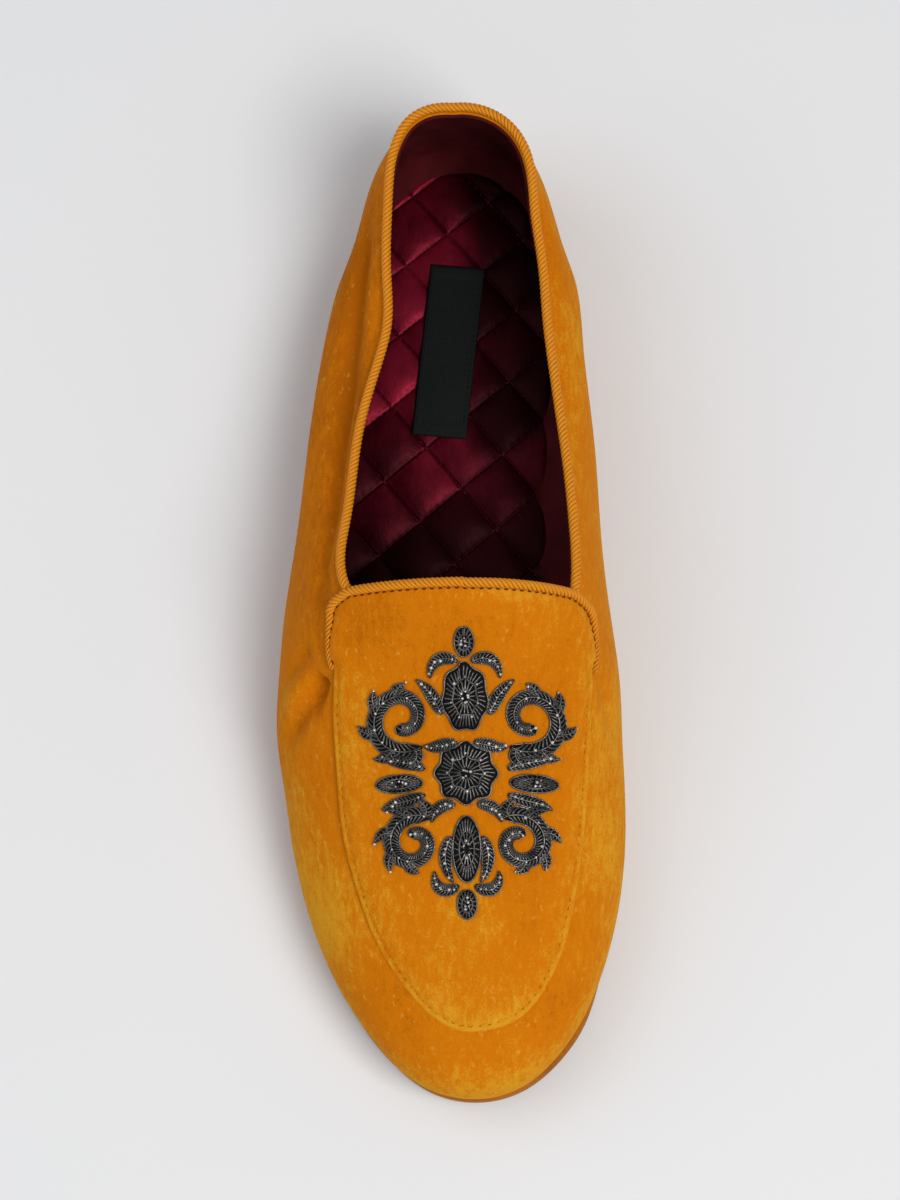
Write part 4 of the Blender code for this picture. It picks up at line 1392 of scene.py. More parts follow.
    def build_piping(self) -> None:
        """Build the rope piping round the tab's free edge."""
        plan = self.tab_line(self.side_steps)
        out = beside_line(plan)
        reach = 12
        kernel = np.ones(2 * reach + 1) / (2 * reach + 1)
        padded = np.concatenate([np.repeat(out[:1], reach, 0), out, np.repeat(out[-1:], reach, 0)])
        out = unit(np.stack([np.convolve(padded[:, k], kernel, "valid") for k in range(2)], -1))
        side = np.linspace(0, 1, self.side_steps)
        down = smooth(np.concatenate([side[::-1], np.zeros(len(plan) - 2 * len(side)), side]), 0.0, 0.6)
        girth = 1 - self.piping_taper * down
        edge = plan + out * (self.piping_radius * girth - 0.0004 - 0.0003 * down)[:, None]
        path = LAST.raised(edge[:, 0], edge[:, 1], self.piping_radius * girth + LAST.lay_gap * 0.5)
        up = LAST.vamp_normal(edge[:, 0], edge[:, 1])
        solid, uv = Rope(self.piping_radius).solid(path, up, girth)
        add_piece("apron_piping_rope", solid, Finish.SILK, ["apron_piping"], uv=uv)
        # stitches in dark thread just inside the tab's edge: real stitches that also paint the shadow line
        # under the piping
        top = plan - out * self.tab_stitch_inset
        line = LAST.raised(top[:, 0], top[:, 1], np.full(len(top), LAST.lay_gap + self.thickness * 0.72))
        add_stitches(Seam.TAB, [line], [LAST.vamp_normal(top[:, 0], top[:, 1])])


# Sole


@dataclass
class Sole:
    """The leather outsole with its burnished rim, and the low stacked heel."""

    heel_inset: float = 0.0006
    breast_bow: float = 0.005
    edge_radius: float = 0.0011
    channel_inset: float = 0.005
    channel_width: float = 0.0011
    channel_slope: float = 0.0003
    channel_depth: float = 0.0005
    channel_start: float = 0.03  # share of the length ahead of the heel
    steps: int = 220

    def profile(self, height: float) -> tuple[Array, Array]:
        """Return inset and height of a board's edge, upright between two rounded corners."""
        turn = np.linspace(0, math.pi / 2, 6)
        r = self.edge_radius
        low_in = r * (1 - np.sin(turn))
        low_up = r * (1 - np.cos(turn))
        inset = np.concatenate([low_in, low_in[::-1]])
        level = np.concatenate([low_up, height - low_up[::-1]])
        return inset, level

    def outline(self, t: Array, inset: float) -> Array:
        """Return plan points round the sole at an inset, lateral side from heel to toe and back."""
        lateral = np.stack(LAST.sole_point(Side.LATERAL, t, inset), -1)
        medial = np.stack(LAST.sole_point(Side.MEDIAL, t, inset), -1)
        return np.concatenate([lateral, medial[::-1][1:-1]])

    def board(self, rings: Sequence[Array]) -> tuple[Array, Array]:
        """Return a closed board from rings of points, each end closed by quads across the outline.

        The rings hold the lateral side from heel to toe and the medial side back, so the points at
        equal places of both sides are joined straight across.
        """
        count = len(rings[0])
        points = np.concatenate(rings)
        quads = [grid_quads(len(rings), count, False, True)]
        half = count // 2
        i = np.arange(half)
        back = (count - i) % count
        ahead = (count - i - 1) % count
        lid = np.stack([i, i + 1, ahead, back], -1)
        quads += [lid, lid + (len(rings) - 1) * count]
        return points, np.concatenate(quads)

    def build(self) -> None:
        """Build the outsole and the heel."""
        t = np.linspace(0, 1, self.steps)
        insets, levels = self.profile(LAST.sole_thickness)
        middle, half, slope = self.channel_inset, self.channel_width / 2, self.channel_slope
        insets = np.concatenate([middle + np.array([half + slope, half, -half, -half - slope]), insets])
        levels = np.concatenate([np.array([0, 1, 1, 0]) * self.channel_depth, levels])
        rings = []
        for inset, level in zip(insets, levels):
            plan = self.outline(t, inset)
            rings.append(np.column_stack([plan, LAST.sole_bottom(plan[:, 1]) + level]))
        add_piece("outsole_leather", self.board(rings), Finish.SOLE, ["outsole"])
        self.build_heel()
        self.build_channel()

    def build_heel(self) -> None:
        """Build the heel: the seat's outline with a bowed breast, in layers with rounded edges."""
        t = np.linspace(0, float(station(LAST.heel_breast)), 90)
        insets, levels = self.profile(LAST.heel_height - LAST.gap)
        rings = []
        for inset, level in zip(insets, levels):
            lateral = np.stack(LAST.sole_point(Side.LATERAL, t, self.heel_inset + inset), -1)
            medial = np.stack(LAST.sole_point(Side.MEDIAL, t, self.heel_inset + inset), -1)
            a = np.linspace(0, 1, 40)[1:-1, None]
            breast = lateral[-1] * (1 - a) + medial[-1] * a
            breast[:, 1:] += self.breast_bow * np.sin(math.pi * a) + inset
            plan = np.concatenate([lateral, breast, medial[::-1][:-1]])
            rings.append(np.column_stack([plan, np.full(len(plan), level)]))
        ring = rings[0]
        points = np.concatenate([*rings, ring.mean(0, keepdims=True), rings[-1].mean(0, keepdims=True)])
        count = len(ring)
        quads = grid_quads(len(rings), count, False, True)
        i = np.arange(count)
        over = (i + 1) % count
        last = (len(rings) - 1) * count
        hub = np.full(count, len(points) - 2)
        low = np.stack([i, over, hub, hub], -1)
        high = np.stack([i + last, over + last, hub + 1, hub + 1], -1)
        solid = points, np.concatenate([quads, low, high])
        add_piece("heel_stack", solid, Finish.STACK, ["heel"])

    def build_channel(self) -> None:
        """Build the stitches of the outsole's seam, on its underside ahead of the heel."""
        t = np.linspace(float(station(LAST.heel_breast + self.channel_start)), 1, 200)
        plan = self.outline(t, self.channel_inset)
        line = np.column_stack([plan, LAST.sole_bottom(plan[:, 1]) + self.channel_depth * 0.85])
        add_stitches(Seam.OUTSOLE, [line], [np.tile([0.0, 0.0, -1.0], (len(line), 1))])


# Insole


@dataclass
class Insole:
    """The quilted satin insole and its bare label."""

    thickness: float = 0.003
    clearance: float = 0.0006
    front: float = 0.985
    rows: int = 270
    columns: int = 128
    quilt_at: tuple[float, float] = (-0.0075, 0.0517)  # where two seams cross
    quilt_first: tuple[float, float] = (0.01075, -0.0129)  # to the next crossing along one seam
    quilt_second: tuple[float, float] = (0.0129, 0.0104)  # and along the other
    quilt_depth: float = 0.0019
    rim_gap: float = 0.0003
    rim_roll: float = 0.0030
    # painted sheen that changes from diamond to diamond, and the strength of the painted shadow
    cell_shade: float = 0.24
    dark_shade: float = 0.95
    last_seen_y: float = -0.08  # the seams' stitches end there, under the apron
    label_width: float = 0.017
    label_length: float = 0.056
    label_place: float = 0.221
    label_side: float = -0.0005
    label_turn: float = math.radians(-6)
    label_seam: float = 0.0012
    label_thickness: float = 0.00045
    label_roll: float = 0.0005
    label_fold: float = 0.0042  # length of the folded ends
    label_fold_step: float = 0.00018
    label_lift: float = 0.0001

    def quilt(self, x: Any, y: Any) -> tuple[Any, Any]:
        """Return the two coordinates of a plan point along the seams, which run where either is whole."""
        a, b = self.quilt_first, self.quilt_second
        area = a[0] * b[1] - a[1] * b[0]
        dx, dy = x - self.quilt_at[0], y - self.quilt_at[1]
        return (dx * b[1] - dy * b[0]) / area, (a[0] * dy - a[1] * dx) / area

    def puff(self, x: Any, y: Any) -> Any:
        """Return the quilt's height, 0 on a seam and 1 in the middle of a diamond, with puckers."""
        a, b = self.quilt(x, y)
        near_a, near_b = abs(np.sin(math.pi * a)), abs(np.sin(math.pi * b))
        dome = (near_a * near_b) ** 0.48
        seam = np.minimum(near_a, near_b)
        ripple = np.sin(math.tau * 4 * np.where(near_a < near_b, b, a) + 1.7 * np.sin(5 * (a + b)))
        return dome + ripple * bell(seam, 0.20, 0.20) * 0.035

    def top(self, x: Any, y: Any, rise: float = 1.0) -> Any:
        """Return the height of the insole's face, away from its rim."""
        puff = self.quilt_depth * (self.puff(x, y) * rise - 0.55)
        return LAST.sole_top(y) + LAST.gap + self.thickness + puff

    def build(self) -> None:
        """Build the quilted pad, its seams and the label."""
        t = np.linspace(0, float(station(self.front)), self.rows)
        room = LAST.seat_inset + LAST.wall + self.clearance
        foot = [np.stack(LAST.sole_point(side, t, room), -1) for side in Side]
        low, high = (self.rim(side, t) for side in Side)
        even = np.linspace(0, 1, self.columns)
        across = (0.35 * (1 - np.cos(even * math.pi)) / 2 + 0.65 * even)[:, None]
        plan = low[:, None] * (1 - across) + high[:, None] * across
        under = foot[0][:, None] * (1 - across) + foot[1][:, None] * across
        x, y = plan[..., 0], plan[..., 1]
        ring = np.concatenate([low, high[::-1]])
        from_edge, _ = distance_to(plan, ring[::6])
        rest = LAST.sole_top(y) + LAST.gap + self.thickness * 0.55
        top = rest + (self.top(x, y) - rest) * rounded(from_edge / self.rim_roll)
        outer = np.stack([x, y, top], -1)
        inner = np.concatenate([under, (LAST.sole_top(under[..., 1]) + LAST.gap)[..., None]], -1)
        first, second = (np.floor(part) for part in self.quilt(x, y))
        # painted sheen changes from diamond to diamond; the painted shadow of the wall and tab darkens the
        # big-toe side, more towards the heel, and the front
        cell = np.sin(2.9 * first + 5.3 * second) * self.cell_shade
        dark = np.maximum(smooth(x, -0.006, 0.018) * 0.75, smooth(-y, -0.075, -0.005))
        dark = np.maximum(dark, smooth(x, -0.003, 0.013) * smooth(y, 0.035, 0.060))
        tone = both_faces(cell + 0.08 - dark * self.dark_shade)
        solid = shell(outer, inner)
        corners = solid[0][solid[1]]
        seams = np.stack(self.quilt(corners[..., 0], corners[..., 1]), -1)
        pad = add_piece("insole_quilt", solid, Finish.SATIN, ["insole"], tone, seams)
        self.build_seams(low, high)
        self.build_label()

    def rim(self, side: Side, t: Array) -> Array:
        """Return plan points of the pad's rim, a gap inside the wall at the pad's height."""
        q = (self.thickness + LAST.gap) / LAST.rise[side](t)
        outline = LAST.lower_wall(side, t, q)[:, :2]
        return outline - beside_line(outline) * side.value * (LAST.wall + self.rim_gap)

    def build_seams(self, low: Array, high: Array) -> None:
        """Build the stitches along the quilt's seams, cut off at the insole's rim."""
        lines, ups = [], []
        most, margin = 20, 0.002
        run = np.linspace(-most, most, 3000)
        for number in range(-most, most + 1):
            for first, second in ((run, number), (number, run)):
                x = self.quilt_at[0] + first * self.quilt_first[0] + second * self.quilt_second[0]
                y = self.quilt_at[1] + first * self.quilt_first[1] + second * self.quilt_second[1]
                at_y = np.clip(y, high[-1, 1], high[0, 1])
                left = np.interp(-at_y, -low[:, 1], low[:, 0])
                right = np.interp(-at_y, -high[:, 1], high[:, 0])
                inside = (x > left + margin) & (x < right - margin) & (y < high[0, 1] - margin)
                inside &= y > self.last_seen_y
                if inside.sum() > 40:
                    z = self.top(x, y)[inside] - Seam.QUILT.value.sunk
                    lines.append(np.column_stack([x[inside], y[inside], z]))
                    ups.append(np.tile([0.0, 0.0, 1.0], (int(inside.sum()), 1)))
        add_stitches(Seam.QUILT, lines, ups)

    def label_points(self, u: Any, v: Any, lift: float) -> Array:
        """Return points of the label, which drapes over the quilt; u and v run from -0.5 to 0.5."""
        c, s = math.cos(self.label_turn), math.sin(self.label_turn)
        x = self.label_side + self.label_width * u * c - self.label_length * v * s
        y = LAST.y_of(self.label_place) + self.label_width * u * s + self.label_length * v * c
        return np.stack([x, y, self.top(x, y, 0.04) + self.quilt_depth * 0.85 + lift], -1)

    def build_label(self) -> None:
        """Build the label: a woven tape with folded ends, tacked down at its rim."""
        u, v = np.meshgrid(np.linspace(-0.5, 0.5, 35), np.linspace(-0.5, 0.5, 71))
        near = np.minimum((0.5 - abs(u)) * self.label_width, (0.5 - abs(v)) * self.label_length)
        outer = self.label_points(u, v, self.label_lift)
        from_end = (0.5 - abs(v)) * self.label_length
        fold = smooth(from_end, self.label_fold, self.label_fold - 0.0006) * self.label_fold_step
        outer[..., 2] += self.label_thickness * rounded(near / self.label_roll) + fold
        inner = self.label_points(u, v, 0.0)
        add_piece("label_tape", shell(outer, inner), Finish.LABEL, ["insole_label"])
        edge = 0.5 - self.label_seam / self.label_width
        ends = 0.5 - self.label_seam / self.label_length
        run = np.linspace(-1, 1, 80)
        still = np.ones(len(run))
        lines = [self.label_points(still * k * edge, run * ends, 0.00062) for k in (-1, 1)]
        lines += [self.label_points(run * edge, still * k * ends, 0.0008) for k in (-1, 1)]
        add_stitches(Seam.LABEL, lines, [np.tile([0.0, 0.0, 1.0], (len(run), 1))] * len(lines))


# Embroidery


class Patch(NamedTuple):
    """One padded motif, in shares of the motif size from the rosette's middle."""

    beside: float
    above: float
    half_width: float
    half_length: float
    lobes: int
    depth: float  # of the hollows between lobes
    rays: int


class Scroll(NamedTuple):
    """One spiral of bullion cord, in shares of the motif size and degrees."""

    beside: float
    above: float
    radius: float
    start: float
    turns: float


PATCHES = {
    "rosette": Patch(0.0, 0.0, 0.46, 0.46, 8, 0.13, 40),
    "palmette": Patch(0.0, 1.08, 0.34, 0.50, 7, 0.10, 36),
    "finial": Patch(0.0, 1.86, 0.14, 0.21, 0, 0.0, 16),
    "bud": Patch(0.0, -1.10, 0.20, 0.48, 0, 0.0, 26),
    "foot": Patch(0.0, -1.90, 0.14, 0.21, 0, 0.0, 16),
    "leaf_medial": Patch(0.97, -0.13, 0.34, 0.13, 0, 0.0, 24),
    "leaf_lateral": Patch(-0.97, -0.13, 0.34, 0.13, 0, 0.0, 24),
}
SCROLLS = {
    "upper_scroll": Scroll(0.92, 0.80, 0.50, 235.0, 1.2),
    "lower_scroll": Scroll(0.76, -0.99, 0.42, 125.0, -1.2),
}
# Each stem bends from its first point to its last, towards the two between, in shares of the motif size
STEMS = (
    ((0.12, 0.44), (0.30, 0.42), (0.46, 0.34), (0.60, 0.40)),
    ((0.10, 1.58), (0.30, 1.70), (0.50, 1.62), (0.50, 1.36)),
    ((0.16, -0.46), (0.34, -0.44), (0.48, -0.52), (0.50, -0.70)),
    ((0.12, -1.62), (0.30, -1.78), (0.50, -1.66), (0.46, -1.42)),
    ((0.34, 0.84), (0.42, 1.02), (0.50, 1.20), (0.70, 1.34)),
    ((0.60, -0.30), (0.84, -0.42), (1.06, -0.38), (1.22, -0.50)),
    ((0.60, 0.06), (0.82, 0.20), (1.06, 0.16), (1.24, 0.30)),
    ((0.22, -0.92), (0.34, -1.10), (0.34, -1.36), (0.20, -1.58)),
)


@dataclass
class Embroidery:
    """Generic raised work on the apron: purl wire laid over padding, coiled cords and beads."""

    size: float = 0.0195
    place: float = 0.70
    side: float = 0.0065
    motif_gap: float = 0.0004
    wire: float = 0.00029
    dome: float = 0.0009
    scroll_width: float = 0.122
    inner_curl: float = 0.24
    bead: float = 0.00046
    beads_lost: float = 0.1
    bead_scatter: float = 0.013
    ray_bend: float = 0.16
    ray_coils: int = 5
    rim_coils: int = 110
    rib_coils: int = 4
    felt_gap: float = 0.00005
    leaf_width: float = 0.085
    leaf_steps: tuple[int, ...] = (6, 30, 56, 84, 112)  # where a scroll's small leaves start
    leaf_lengths: tuple[float, ...] = (0.24, 0.28, 0.27, 0.25, 0.21)
    seed: int = 11

    def __post_init__(self) -> None:
        """Work out the height of the apron's face above the vamp."""
        self.face = LAST.lay_gap + Apron().thickness
        self.tubes: list[tuple[Array, Array]] = []
        self.rims: list[tuple[Array, Array]] = []
        self.pads: list[tuple[Array, Array]] = []
        self.beads: list[Array] = []

    def at(self, beside: Any, above: Any, lift: Any) -> Array:
        """Return the point over the apron beside and above the rosette's middle."""
        x = self.side + beside * self.size
        y = LAST.y_of(self.place) + above * self.size
        return LAST.raised(x, y, self.face + np.broadcast_to(lift, np.shape(x)))

    def up_at(self, beside: Any, above: Any) -> Array:
        """Return the apron's normal there."""
        x = self.side + beside * self.size
        return LAST.vamp_normal(x, LAST.y_of(self.place) + above * self.size)

    def cords(
        self, beside: Array, above: Array, lift: Array, radius: float, coil: float
    ) -> tuple[Array, Array]:
        """Return tubes over plan lines, ridged like coiled wire: the radius waves along each tube.

        Args:
            beside: tubes by steps.
            above: tubes by steps.
            lift: height of each tube's middle above the apron.
            radius: mean radius.
            coil: waves along a tube.

        Returns:
            Points and quads.
        """
        centres = self.at(beside, above, lift)
        steps = centres.shape[1]
        wave = 1 + 0.16 * np.sin(np.linspace(0, coil * math.tau, steps))
        return tubes(centres, self.up_at(beside, above), radius * wave * rounded_ends(steps, 0.08), 6)

    def reach(self, patch: Patch, angle: Array) -> Array:
        """Return the share of a patch's half sizes that its lobed rim has at an angle."""
        return 1 - patch.depth * (1 - np.cos(patch.lobes * angle)) / 2

    def on_patch(self, patch: Patch, angle: Array, out: Array | float) -> tuple[Array, Array]:
        """Return plan points at an angle round a patch, and a share of the way out to its rim."""
        rim = self.reach(patch, angle)
        beside = patch.beside + patch.half_width * np.sin(angle) * rim * out
        return beside, patch.above + patch.half_length * np.cos(angle) * rim * out

    def patch(self, patch: Patch) -> None:
        """Lay a patch: curved rays over a dome, in two rings, and coiled wires round them."""
        for low, high, share_of_rays in ((0.50, 0.94, 1.0), (0.12, 0.56, 0.5)):
            rays = int(patch.rays * share_of_rays)
            angle = np.arange(rays)[:, None] * math.tau / rays
            run = np.linspace(low, high, 8)[None, :]
            beside, above = self.on_patch(patch, angle + self.ray_bend * run, run)
            lift = self.motif_gap + self.dome * (1 - run**2) + self.wire * 0.7 + 0 * beside
            self.tubes.append(self.cords(beside, above, lift, self.wire, self.ray_coils))
        turn = (np.arange(160) * math.tau / 160)[:, None]
        out = np.linspace(1e-4, 0.99, 9)
        beside, above = self.on_patch(patch, turn, out)
        self.felt(beside, above, self.dome * 0.85 * (1 - out**2) + 0 * beside, True)
        turn = np.linspace(0, math.tau, 400)[None, :]
        for scale, level in ((1.0, 0.0003), (0.54, self.dome * 0.75 + self.wire)):
            beside, above = self.on_patch(patch, turn, scale)
            lift = np.full(beside.shape, self.motif_gap + level)
            self.rims.append(self.cords(beside, above, lift, self.wire, self.rim_coils))

    def patch_beads(self, patch: Patch) -> None:
        """Lay beads in the middle of a patch and in its lobes."""
        count = max(patch.lobes, 6)
        turn = np.arange(count) * math.tau / count
        for scale in (0.12, 0.62) if patch.lobes else (0.25,):
            beside = patch.beside + patch.half_width * np.sin(turn) * scale
            above = patch.above + patch.half_length * np.cos(turn) * scale
            lift = np.full(count, self.motif_gap + self.dome * (1 - scale**2) + self.wire * 2.4)
            self.beads.append(np.stack([beside, above, lift], -1))

    def spiral(self, scroll: Scroll, sign: int, steps: int) -> tuple[Array, Array]:
        """Return plan points along a scroll, which closes in on its middle as it turns."""
        run = np.linspace(0, 1, steps)
        angle = np.radians(scroll.start + 360 * scroll.turns * run)
        radius = scroll.radius * (1 - (1 - self.inner_curl) * run)
        return sign * (scroll.beside + radius * np.cos(angle)), scroll.above + radius * np.sin(angle)

    def felt(self, beside: Array, above: Array, lift: Array, wrap: bool) -> None:
        """Lay the felt that fills a motif under its wires, from a grid of plan points and heights."""
        top = self.at(beside, above, self.motif_gap * 0.5 + lift)
        base = self.at(beside, above, np.full(beside.shape, self.felt_gap))
        self.pads.append(shell(top, base, wrap))

    def leaf(self, spines: Array, width: Array, ribs: int, slant: float) -> None:
        """Lay wires over leaves: slanting ribs from the spine to both edges, and pale wires round them.

        A rib starts on the spine and ends further along, at the edge, which stands off the spine by
        the width's profile. The leaf is highest on its spine.

        Args:
            spines: leaves by steps by 2, in shares of the motif size.
            width: half width at each step, leaves by steps or one row for all.
            ribs: pairs of ribs on a leaf.
            slant: share of the spine that a rib runs ahead on its way out.
        """
        steps = spines.shape[1]
        width = np.broadcast_to(width, spines.shape[:2])
        run = unit(np.gradient(spines, axis=1))
        beside = np.stack([-run[..., 1], run[..., 0]], -1)
        first = np.linspace(0.02, 0.90, ribs) * (steps - 1)
        step = np.linspace(0, 1, 8)
        places = np.clip(first[:, None] + slant * (steps - 1) * step, 0, steps - 1)
        low = np.floor(places).astype(int).clip(0, steps - 2)
        part = (places - low)[..., None]
        core = spines[:, low] * (1 - part) + spines[:, low + 1] * part
        normal = beside[:, low] * (1 - part) + beside[:, low + 1] * part
        reach = width[:, low] * (1 - part[..., 0]) + width[:, low + 1] * part[..., 0]
        dome = self.dome * np.clip(width.max() / 0.12, 0.4, 1.0)
        lift = self.motif_gap + self.wire * 0.6 + dome * (1 - step**2) * np.ones(core.shape[:-1])
        for sign in (1, -1):
            flat = core + normal * (sign * 0.94 * reach * np.sin(step * math.pi / 2))[..., None]
            flat = flat.reshape(-1, len(step), 2)
            level = lift.reshape(-1, len(step))
            self.tubes.append(self.cords(flat[..., 0], flat[..., 1], level, self.wire, self.rib_coils))
            edge = spines + beside * (sign * width)[..., None]
            level = np.full(edge.shape[:2], self.motif_gap + self.wire)
            self.rims.append(self.cords(edge[..., 0], edge[..., 1], level, self.wire * 0.9, steps / 3))
        across = np.linspace(-0.96, 0.96, 9)
        for spine, normal_here, half in zip(spines[:, ::2], beside[:, ::2], width[:, ::2]):
            plan = spine[:, None] + normal_here[:, None] * (half[:, None] * across)[..., None]
            self.felt(plan[..., 0], plan[..., 1], dome * 0.8 * (1 - across**2) + 0 * plan[..., 0], False)
        level = np.full(spines.shape[:2], self.motif_gap + dome + self.wire)
        self.rims.append(self.cords(spines[..., 0], spines[..., 1], level, self.wire * 0.8, steps / 3))

    def scroll(self, scroll: Scroll, sign: int) -> None:
        """Lay a scroll as one long leaf wound up, with small leaves that break off its outer side."""
        steps = 240
        beside, above = self.spiral(scroll, sign, steps)
        run = np.linspace(0, 1, steps)
        closing = np.sqrt(np.clip(np.minimum(run, 1 - run) / 0.06, 0.02, 1))
        width = self.scroll_width * (1 - 0.35 * run) * closing
        self.leaf(np.stack([beside, above], -1)[None], width, 42, 0.042)
        at = list(self.leaf_steps)
        away = unit(np.stack([beside - sign * scroll.beside, above - scroll.above], -1)[at])
        ahead = unit(np.stack([np.gradient(beside), np.gradient(above)], -1)[at])
        start = np.stack([beside, above], -1)[at]
        u = np.linspace(0, 1, 40)[None, :, None]
        length = np.array(self.leaf_lengths)[:, None, None]
        curl = away[:, None] * u * (1.15 - 0.35 * u) + ahead[:, None] * u * u * 0.75
        spine = start[:, None] + length * curl
        leaf = self.leaf_width * np.sin(math.pi * np.linspace(0.03, 1, 40) ** 0.75) ** 0.8
        self.leaf(spine, leaf, 6, 0.16)
        spots = np.stack([beside, above, np.full(steps, self.motif_gap + self.dome + self.wire * 2)], -1)
        self.beads.append(spots[8::17])
        tips = spine[:, -1]
        self.beads.append(np.column_stack([tips, np.full(len(tips), self.motif_gap + self.bead)]))

    def sprigs(self) -> None:
        """Lay the curved stems and leaves that tie the motifs together, mirrored about the middle."""
        run = np.linspace(0, 1, 60)
        basis = np.stack([(1 - run) ** 3, 3 * run * (1 - run) ** 2, 3 * run**2 * (1 - run), run**3])
        curves = np.einsum("nkc,ks->nsc", np.array(STEMS), basis)
        both = np.concatenate([curves, curves * np.array([-1, 1])])
        self.leaf(both, self.leaf_width * np.sin(math.pi * np.linspace(0.02, 1, 60) ** 0.8) ** 0.7, 12, 0.11)
        height = self.motif_gap + self.dome * 0.5 + self.wire * 2
        spots = both[:, 8:56:9]
        self.beads += [np.column_stack([spot, np.full(len(spot), height)]) for spot in spots]

    def build(self) -> None:
        """Build the wire work of each motif and all the beads."""
        for name, patch in PATCHES.items():
            self.patch_beads(patch)
            self.patch(patch)
            self.finish_motif(name, ["embroidery_" + name])
        for name, scroll in SCROLLS.items():
            for side in Side:
                full = f"{name}_{side.name.lower()}"
                self.scroll(scroll, side.value)
                self.finish_motif(full, ["embroidery_" + full])
        self.sprigs()
        self.finish_motif("sprigs", [])
        self.build_beads()

    def finish_motif(self, name: str, replaced: list[str]) -> None:
        """Make what was laid since the last motif three pieces: dark filling, pale outline and felt."""
        add_piece("wire_" + name, joined(self.tubes), Finish.BULLION, replaced)
        add_piece("outline_" + name, joined(self.rims), Finish.PURL)
        add_piece("felt_" + name, joined(self.pads), Finish.FELT)
        self.tubes, self.rims, self.pads = [], [], []

    def build_beads(self) -> None:
        """Build the beads: each is a short tube whose radius follows a circle, so a ball."""
        spots = np.concatenate(self.beads)
        rng = np.random.default_rng(self.seed)
        spots = spots[rng.uniform(0, 1, len(spots)) > self.beads_lost]
        spots[:, :2] += rng.normal(0, self.bead_scatter, (len(spots), 2))
        up = self.up_at(spots[:, 0], spots[:, 1])
        middle = self.at(spots[:, 0], spots[:, 1], spots[:, 2])
        lean = unit(rng.normal(0, 1, up.shape))
        turn = np.linspace(-1, 1, 7) * math.pi / 2
        radius = self.bead * rng.uniform(0.65, 1.2, len(spots))
        centres = middle[:, None] + up[:, None] * (np.sin(turn)[:, None] * radius[:, None, None])
        ups = np.broadcast_to(np.cross(up, lean)[:, None], centres.shape)
        solid = tubes(centres, ups, np.cos(turn) * radius[:, None], 8)
        add_piece("embroidery_beads", solid, Finish.BEAD)


def joined(solids: Sequence[tuple[Array, Array]]) -> tuple[Array, Array]:
    """Return several solids as one set of points and quads."""
    starts = np.cumsum([0] + [len(points) for points, _ in solids[:-1]])
    quads = [part + start for (_, part), start in zip(solids, starts)]
    return np.concatenate([points for points, _ in solids]), np.concatenate(quads)


# Studio


class Lamp(NamedTuple):
    """One square area lamp."""

    name: str
    place: tuple[float, float, float]
    size: float
    power: float
    colour: Colour


LAMPS = (
    Lamp("key", (1.07, -0.93, 2.13), 1.28, 45.0, (1.0, 0.985, 0.96)),
    Lamp("fill", (-0.95, 0.10, 1.1), 1.2, 5.0, (0.97, 0.985, 1.0)),
)


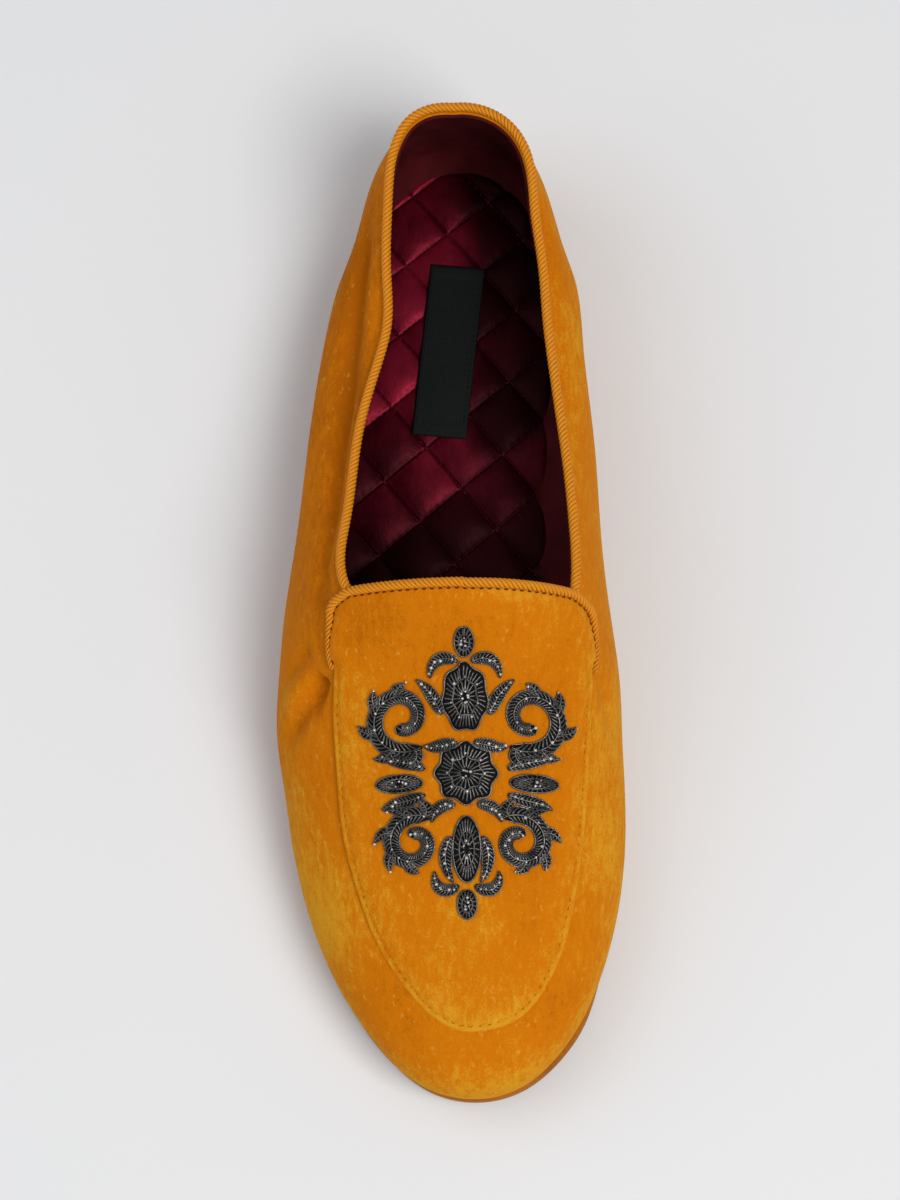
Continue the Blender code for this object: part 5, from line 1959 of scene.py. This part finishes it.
@dataclass
class Studio:
    """Pale floor, soft light and the camera, which looks down on the shoe over its toe."""

    distance: float = 1.16416
    tilt: float = math.radians(14.8282)
    aim_x: float = 0.05679
    aim_y: float = -0.0234
    yaw: float = math.radians(0.6445)
    focal_pixels: float = 3804.5
    frame_height: float = 1200.0
    frame_width: float = 900.0
    shoe_pixel: tuple[float, float] = (263.0, 505.0)
    sensor: float = 36.0
    nearest: float = 0.05
    lit_height: float = 0.02  # the lamps point at the shoe's middle
    floor_half: float = 4.0
    floor_tones: tuple[Colour, Colour] = ((0.745, 0.75, 0.755), (0.785, 0.79, 0.795))
    air_tone: Colour = (0.93, 0.95, 1.0)
    air_strength: float = 0.37

    def build(self) -> None:
        """Build the floor, the lights and the camera."""
        bpy.context.scene.view_settings.view_transform = "Standard"
        self.build_floor()
        self.build_lights()
        self.build_camera()

    def build_floor(self) -> None:
        """Build a matt pale floor with a faint mottle."""
        size = self.floor_half
        corners = np.array([(-size, -size, 0), (size, -size, 0), (size, size, 0), (-size, size, 0)], float)
        mesh = bpy.data.meshes.new("floor")
        mesh.from_pydata(corners, [], [(0, 1, 2, 3)])
        g = Graph("floor_paper", (0.8, 0.8, 0.8))
        mottle = g.noise(g.place(), 3.0, 2.0)
        mesh.materials.append(g.dress(Base_Color=g.mixed(mottle, *self.floor_tones), Roughness=0.9))
        floor = bpy.data.objects.new("floor", mesh)
        bpy.context.scene.collection.objects.link(floor)

    def build_lights(self) -> None:
        """Build a large key from the big-toe side, a weak fill and the pale surroundings."""
        for name, place, size, power, colour in LAMPS:
            data = bpy.data.lights.new(name, "AREA")
            data.shape = "SQUARE"
            data.size = size
            data.energy = power
            data.color = colour
            lamp = bpy.data.objects.new(name, data)
            lamp.location = place
            aim = Vector((0, 0, self.lit_height)) - Vector(place)
            lamp.rotation_euler = aim.to_track_quat("-Z", "Y").to_euler()
            bpy.context.scene.collection.objects.link(lamp)
        world = bpy.data.worlds.new("surroundings")
        world.use_nodes = True
        back = world.node_tree.nodes["Background"]
        back.inputs["Color"].default_value = (*self.air_tone, 1.0)
        back.inputs["Strength"].default_value = self.air_strength
        bpy.context.scene.world = world

    def build_camera(self) -> None:
        """Build the camera at the photograph's place, turned to bring the one shoe to the middle."""
        turn = Matrix.Rotation(-self.yaw, 3, "Z")
        s, c = math.sin(self.tilt), math.cos(self.tilt)
        spot = turn @ Vector((self.aim_x, self.aim_y - self.distance * s, self.distance * c))
        forward = turn @ Vector((0, s, -c))
        up = turn @ Vector((0, c, s))
        right = turn @ Vector((1, 0, 0))
        beside = (self.shoe_pixel[0] - self.frame_width / 2) / self.focal_pixels
        above = (self.frame_height / 2 - self.shoe_pixel[1]) / self.focal_pixels
        look = (forward + right * beside + up * above).normalized()
        across = look.cross(up).normalized()
        over = across.cross(look)
        data = bpy.data.cameras.new("camera")
        data.sensor_width = self.sensor
        data.lens = self.focal_pixels / self.frame_height * data.sensor_width
        data.clip_start = self.nearest
        camera = bpy.data.objects.new("camera", data)
        pose = Matrix((across, over, -look)).transposed().to_4x4()
        pose.translation = spot
        camera.matrix_world = pose
        bpy.context.scene.collection.objects.link(camera)
        bpy.context.scene.camera = camera


def main() -> None:
    """Build the shoe and its studio in order."""
    logging.basicConfig(level=logging.INFO, format="%(name)s %(message)s")
    Sole().build()
    Insole().build()
    Upper().build()
    Apron().build()
    Embroidery().build()
    Studio().build()
    bpy.context.view_layer.update()


if __name__ == "__main__":
    main()
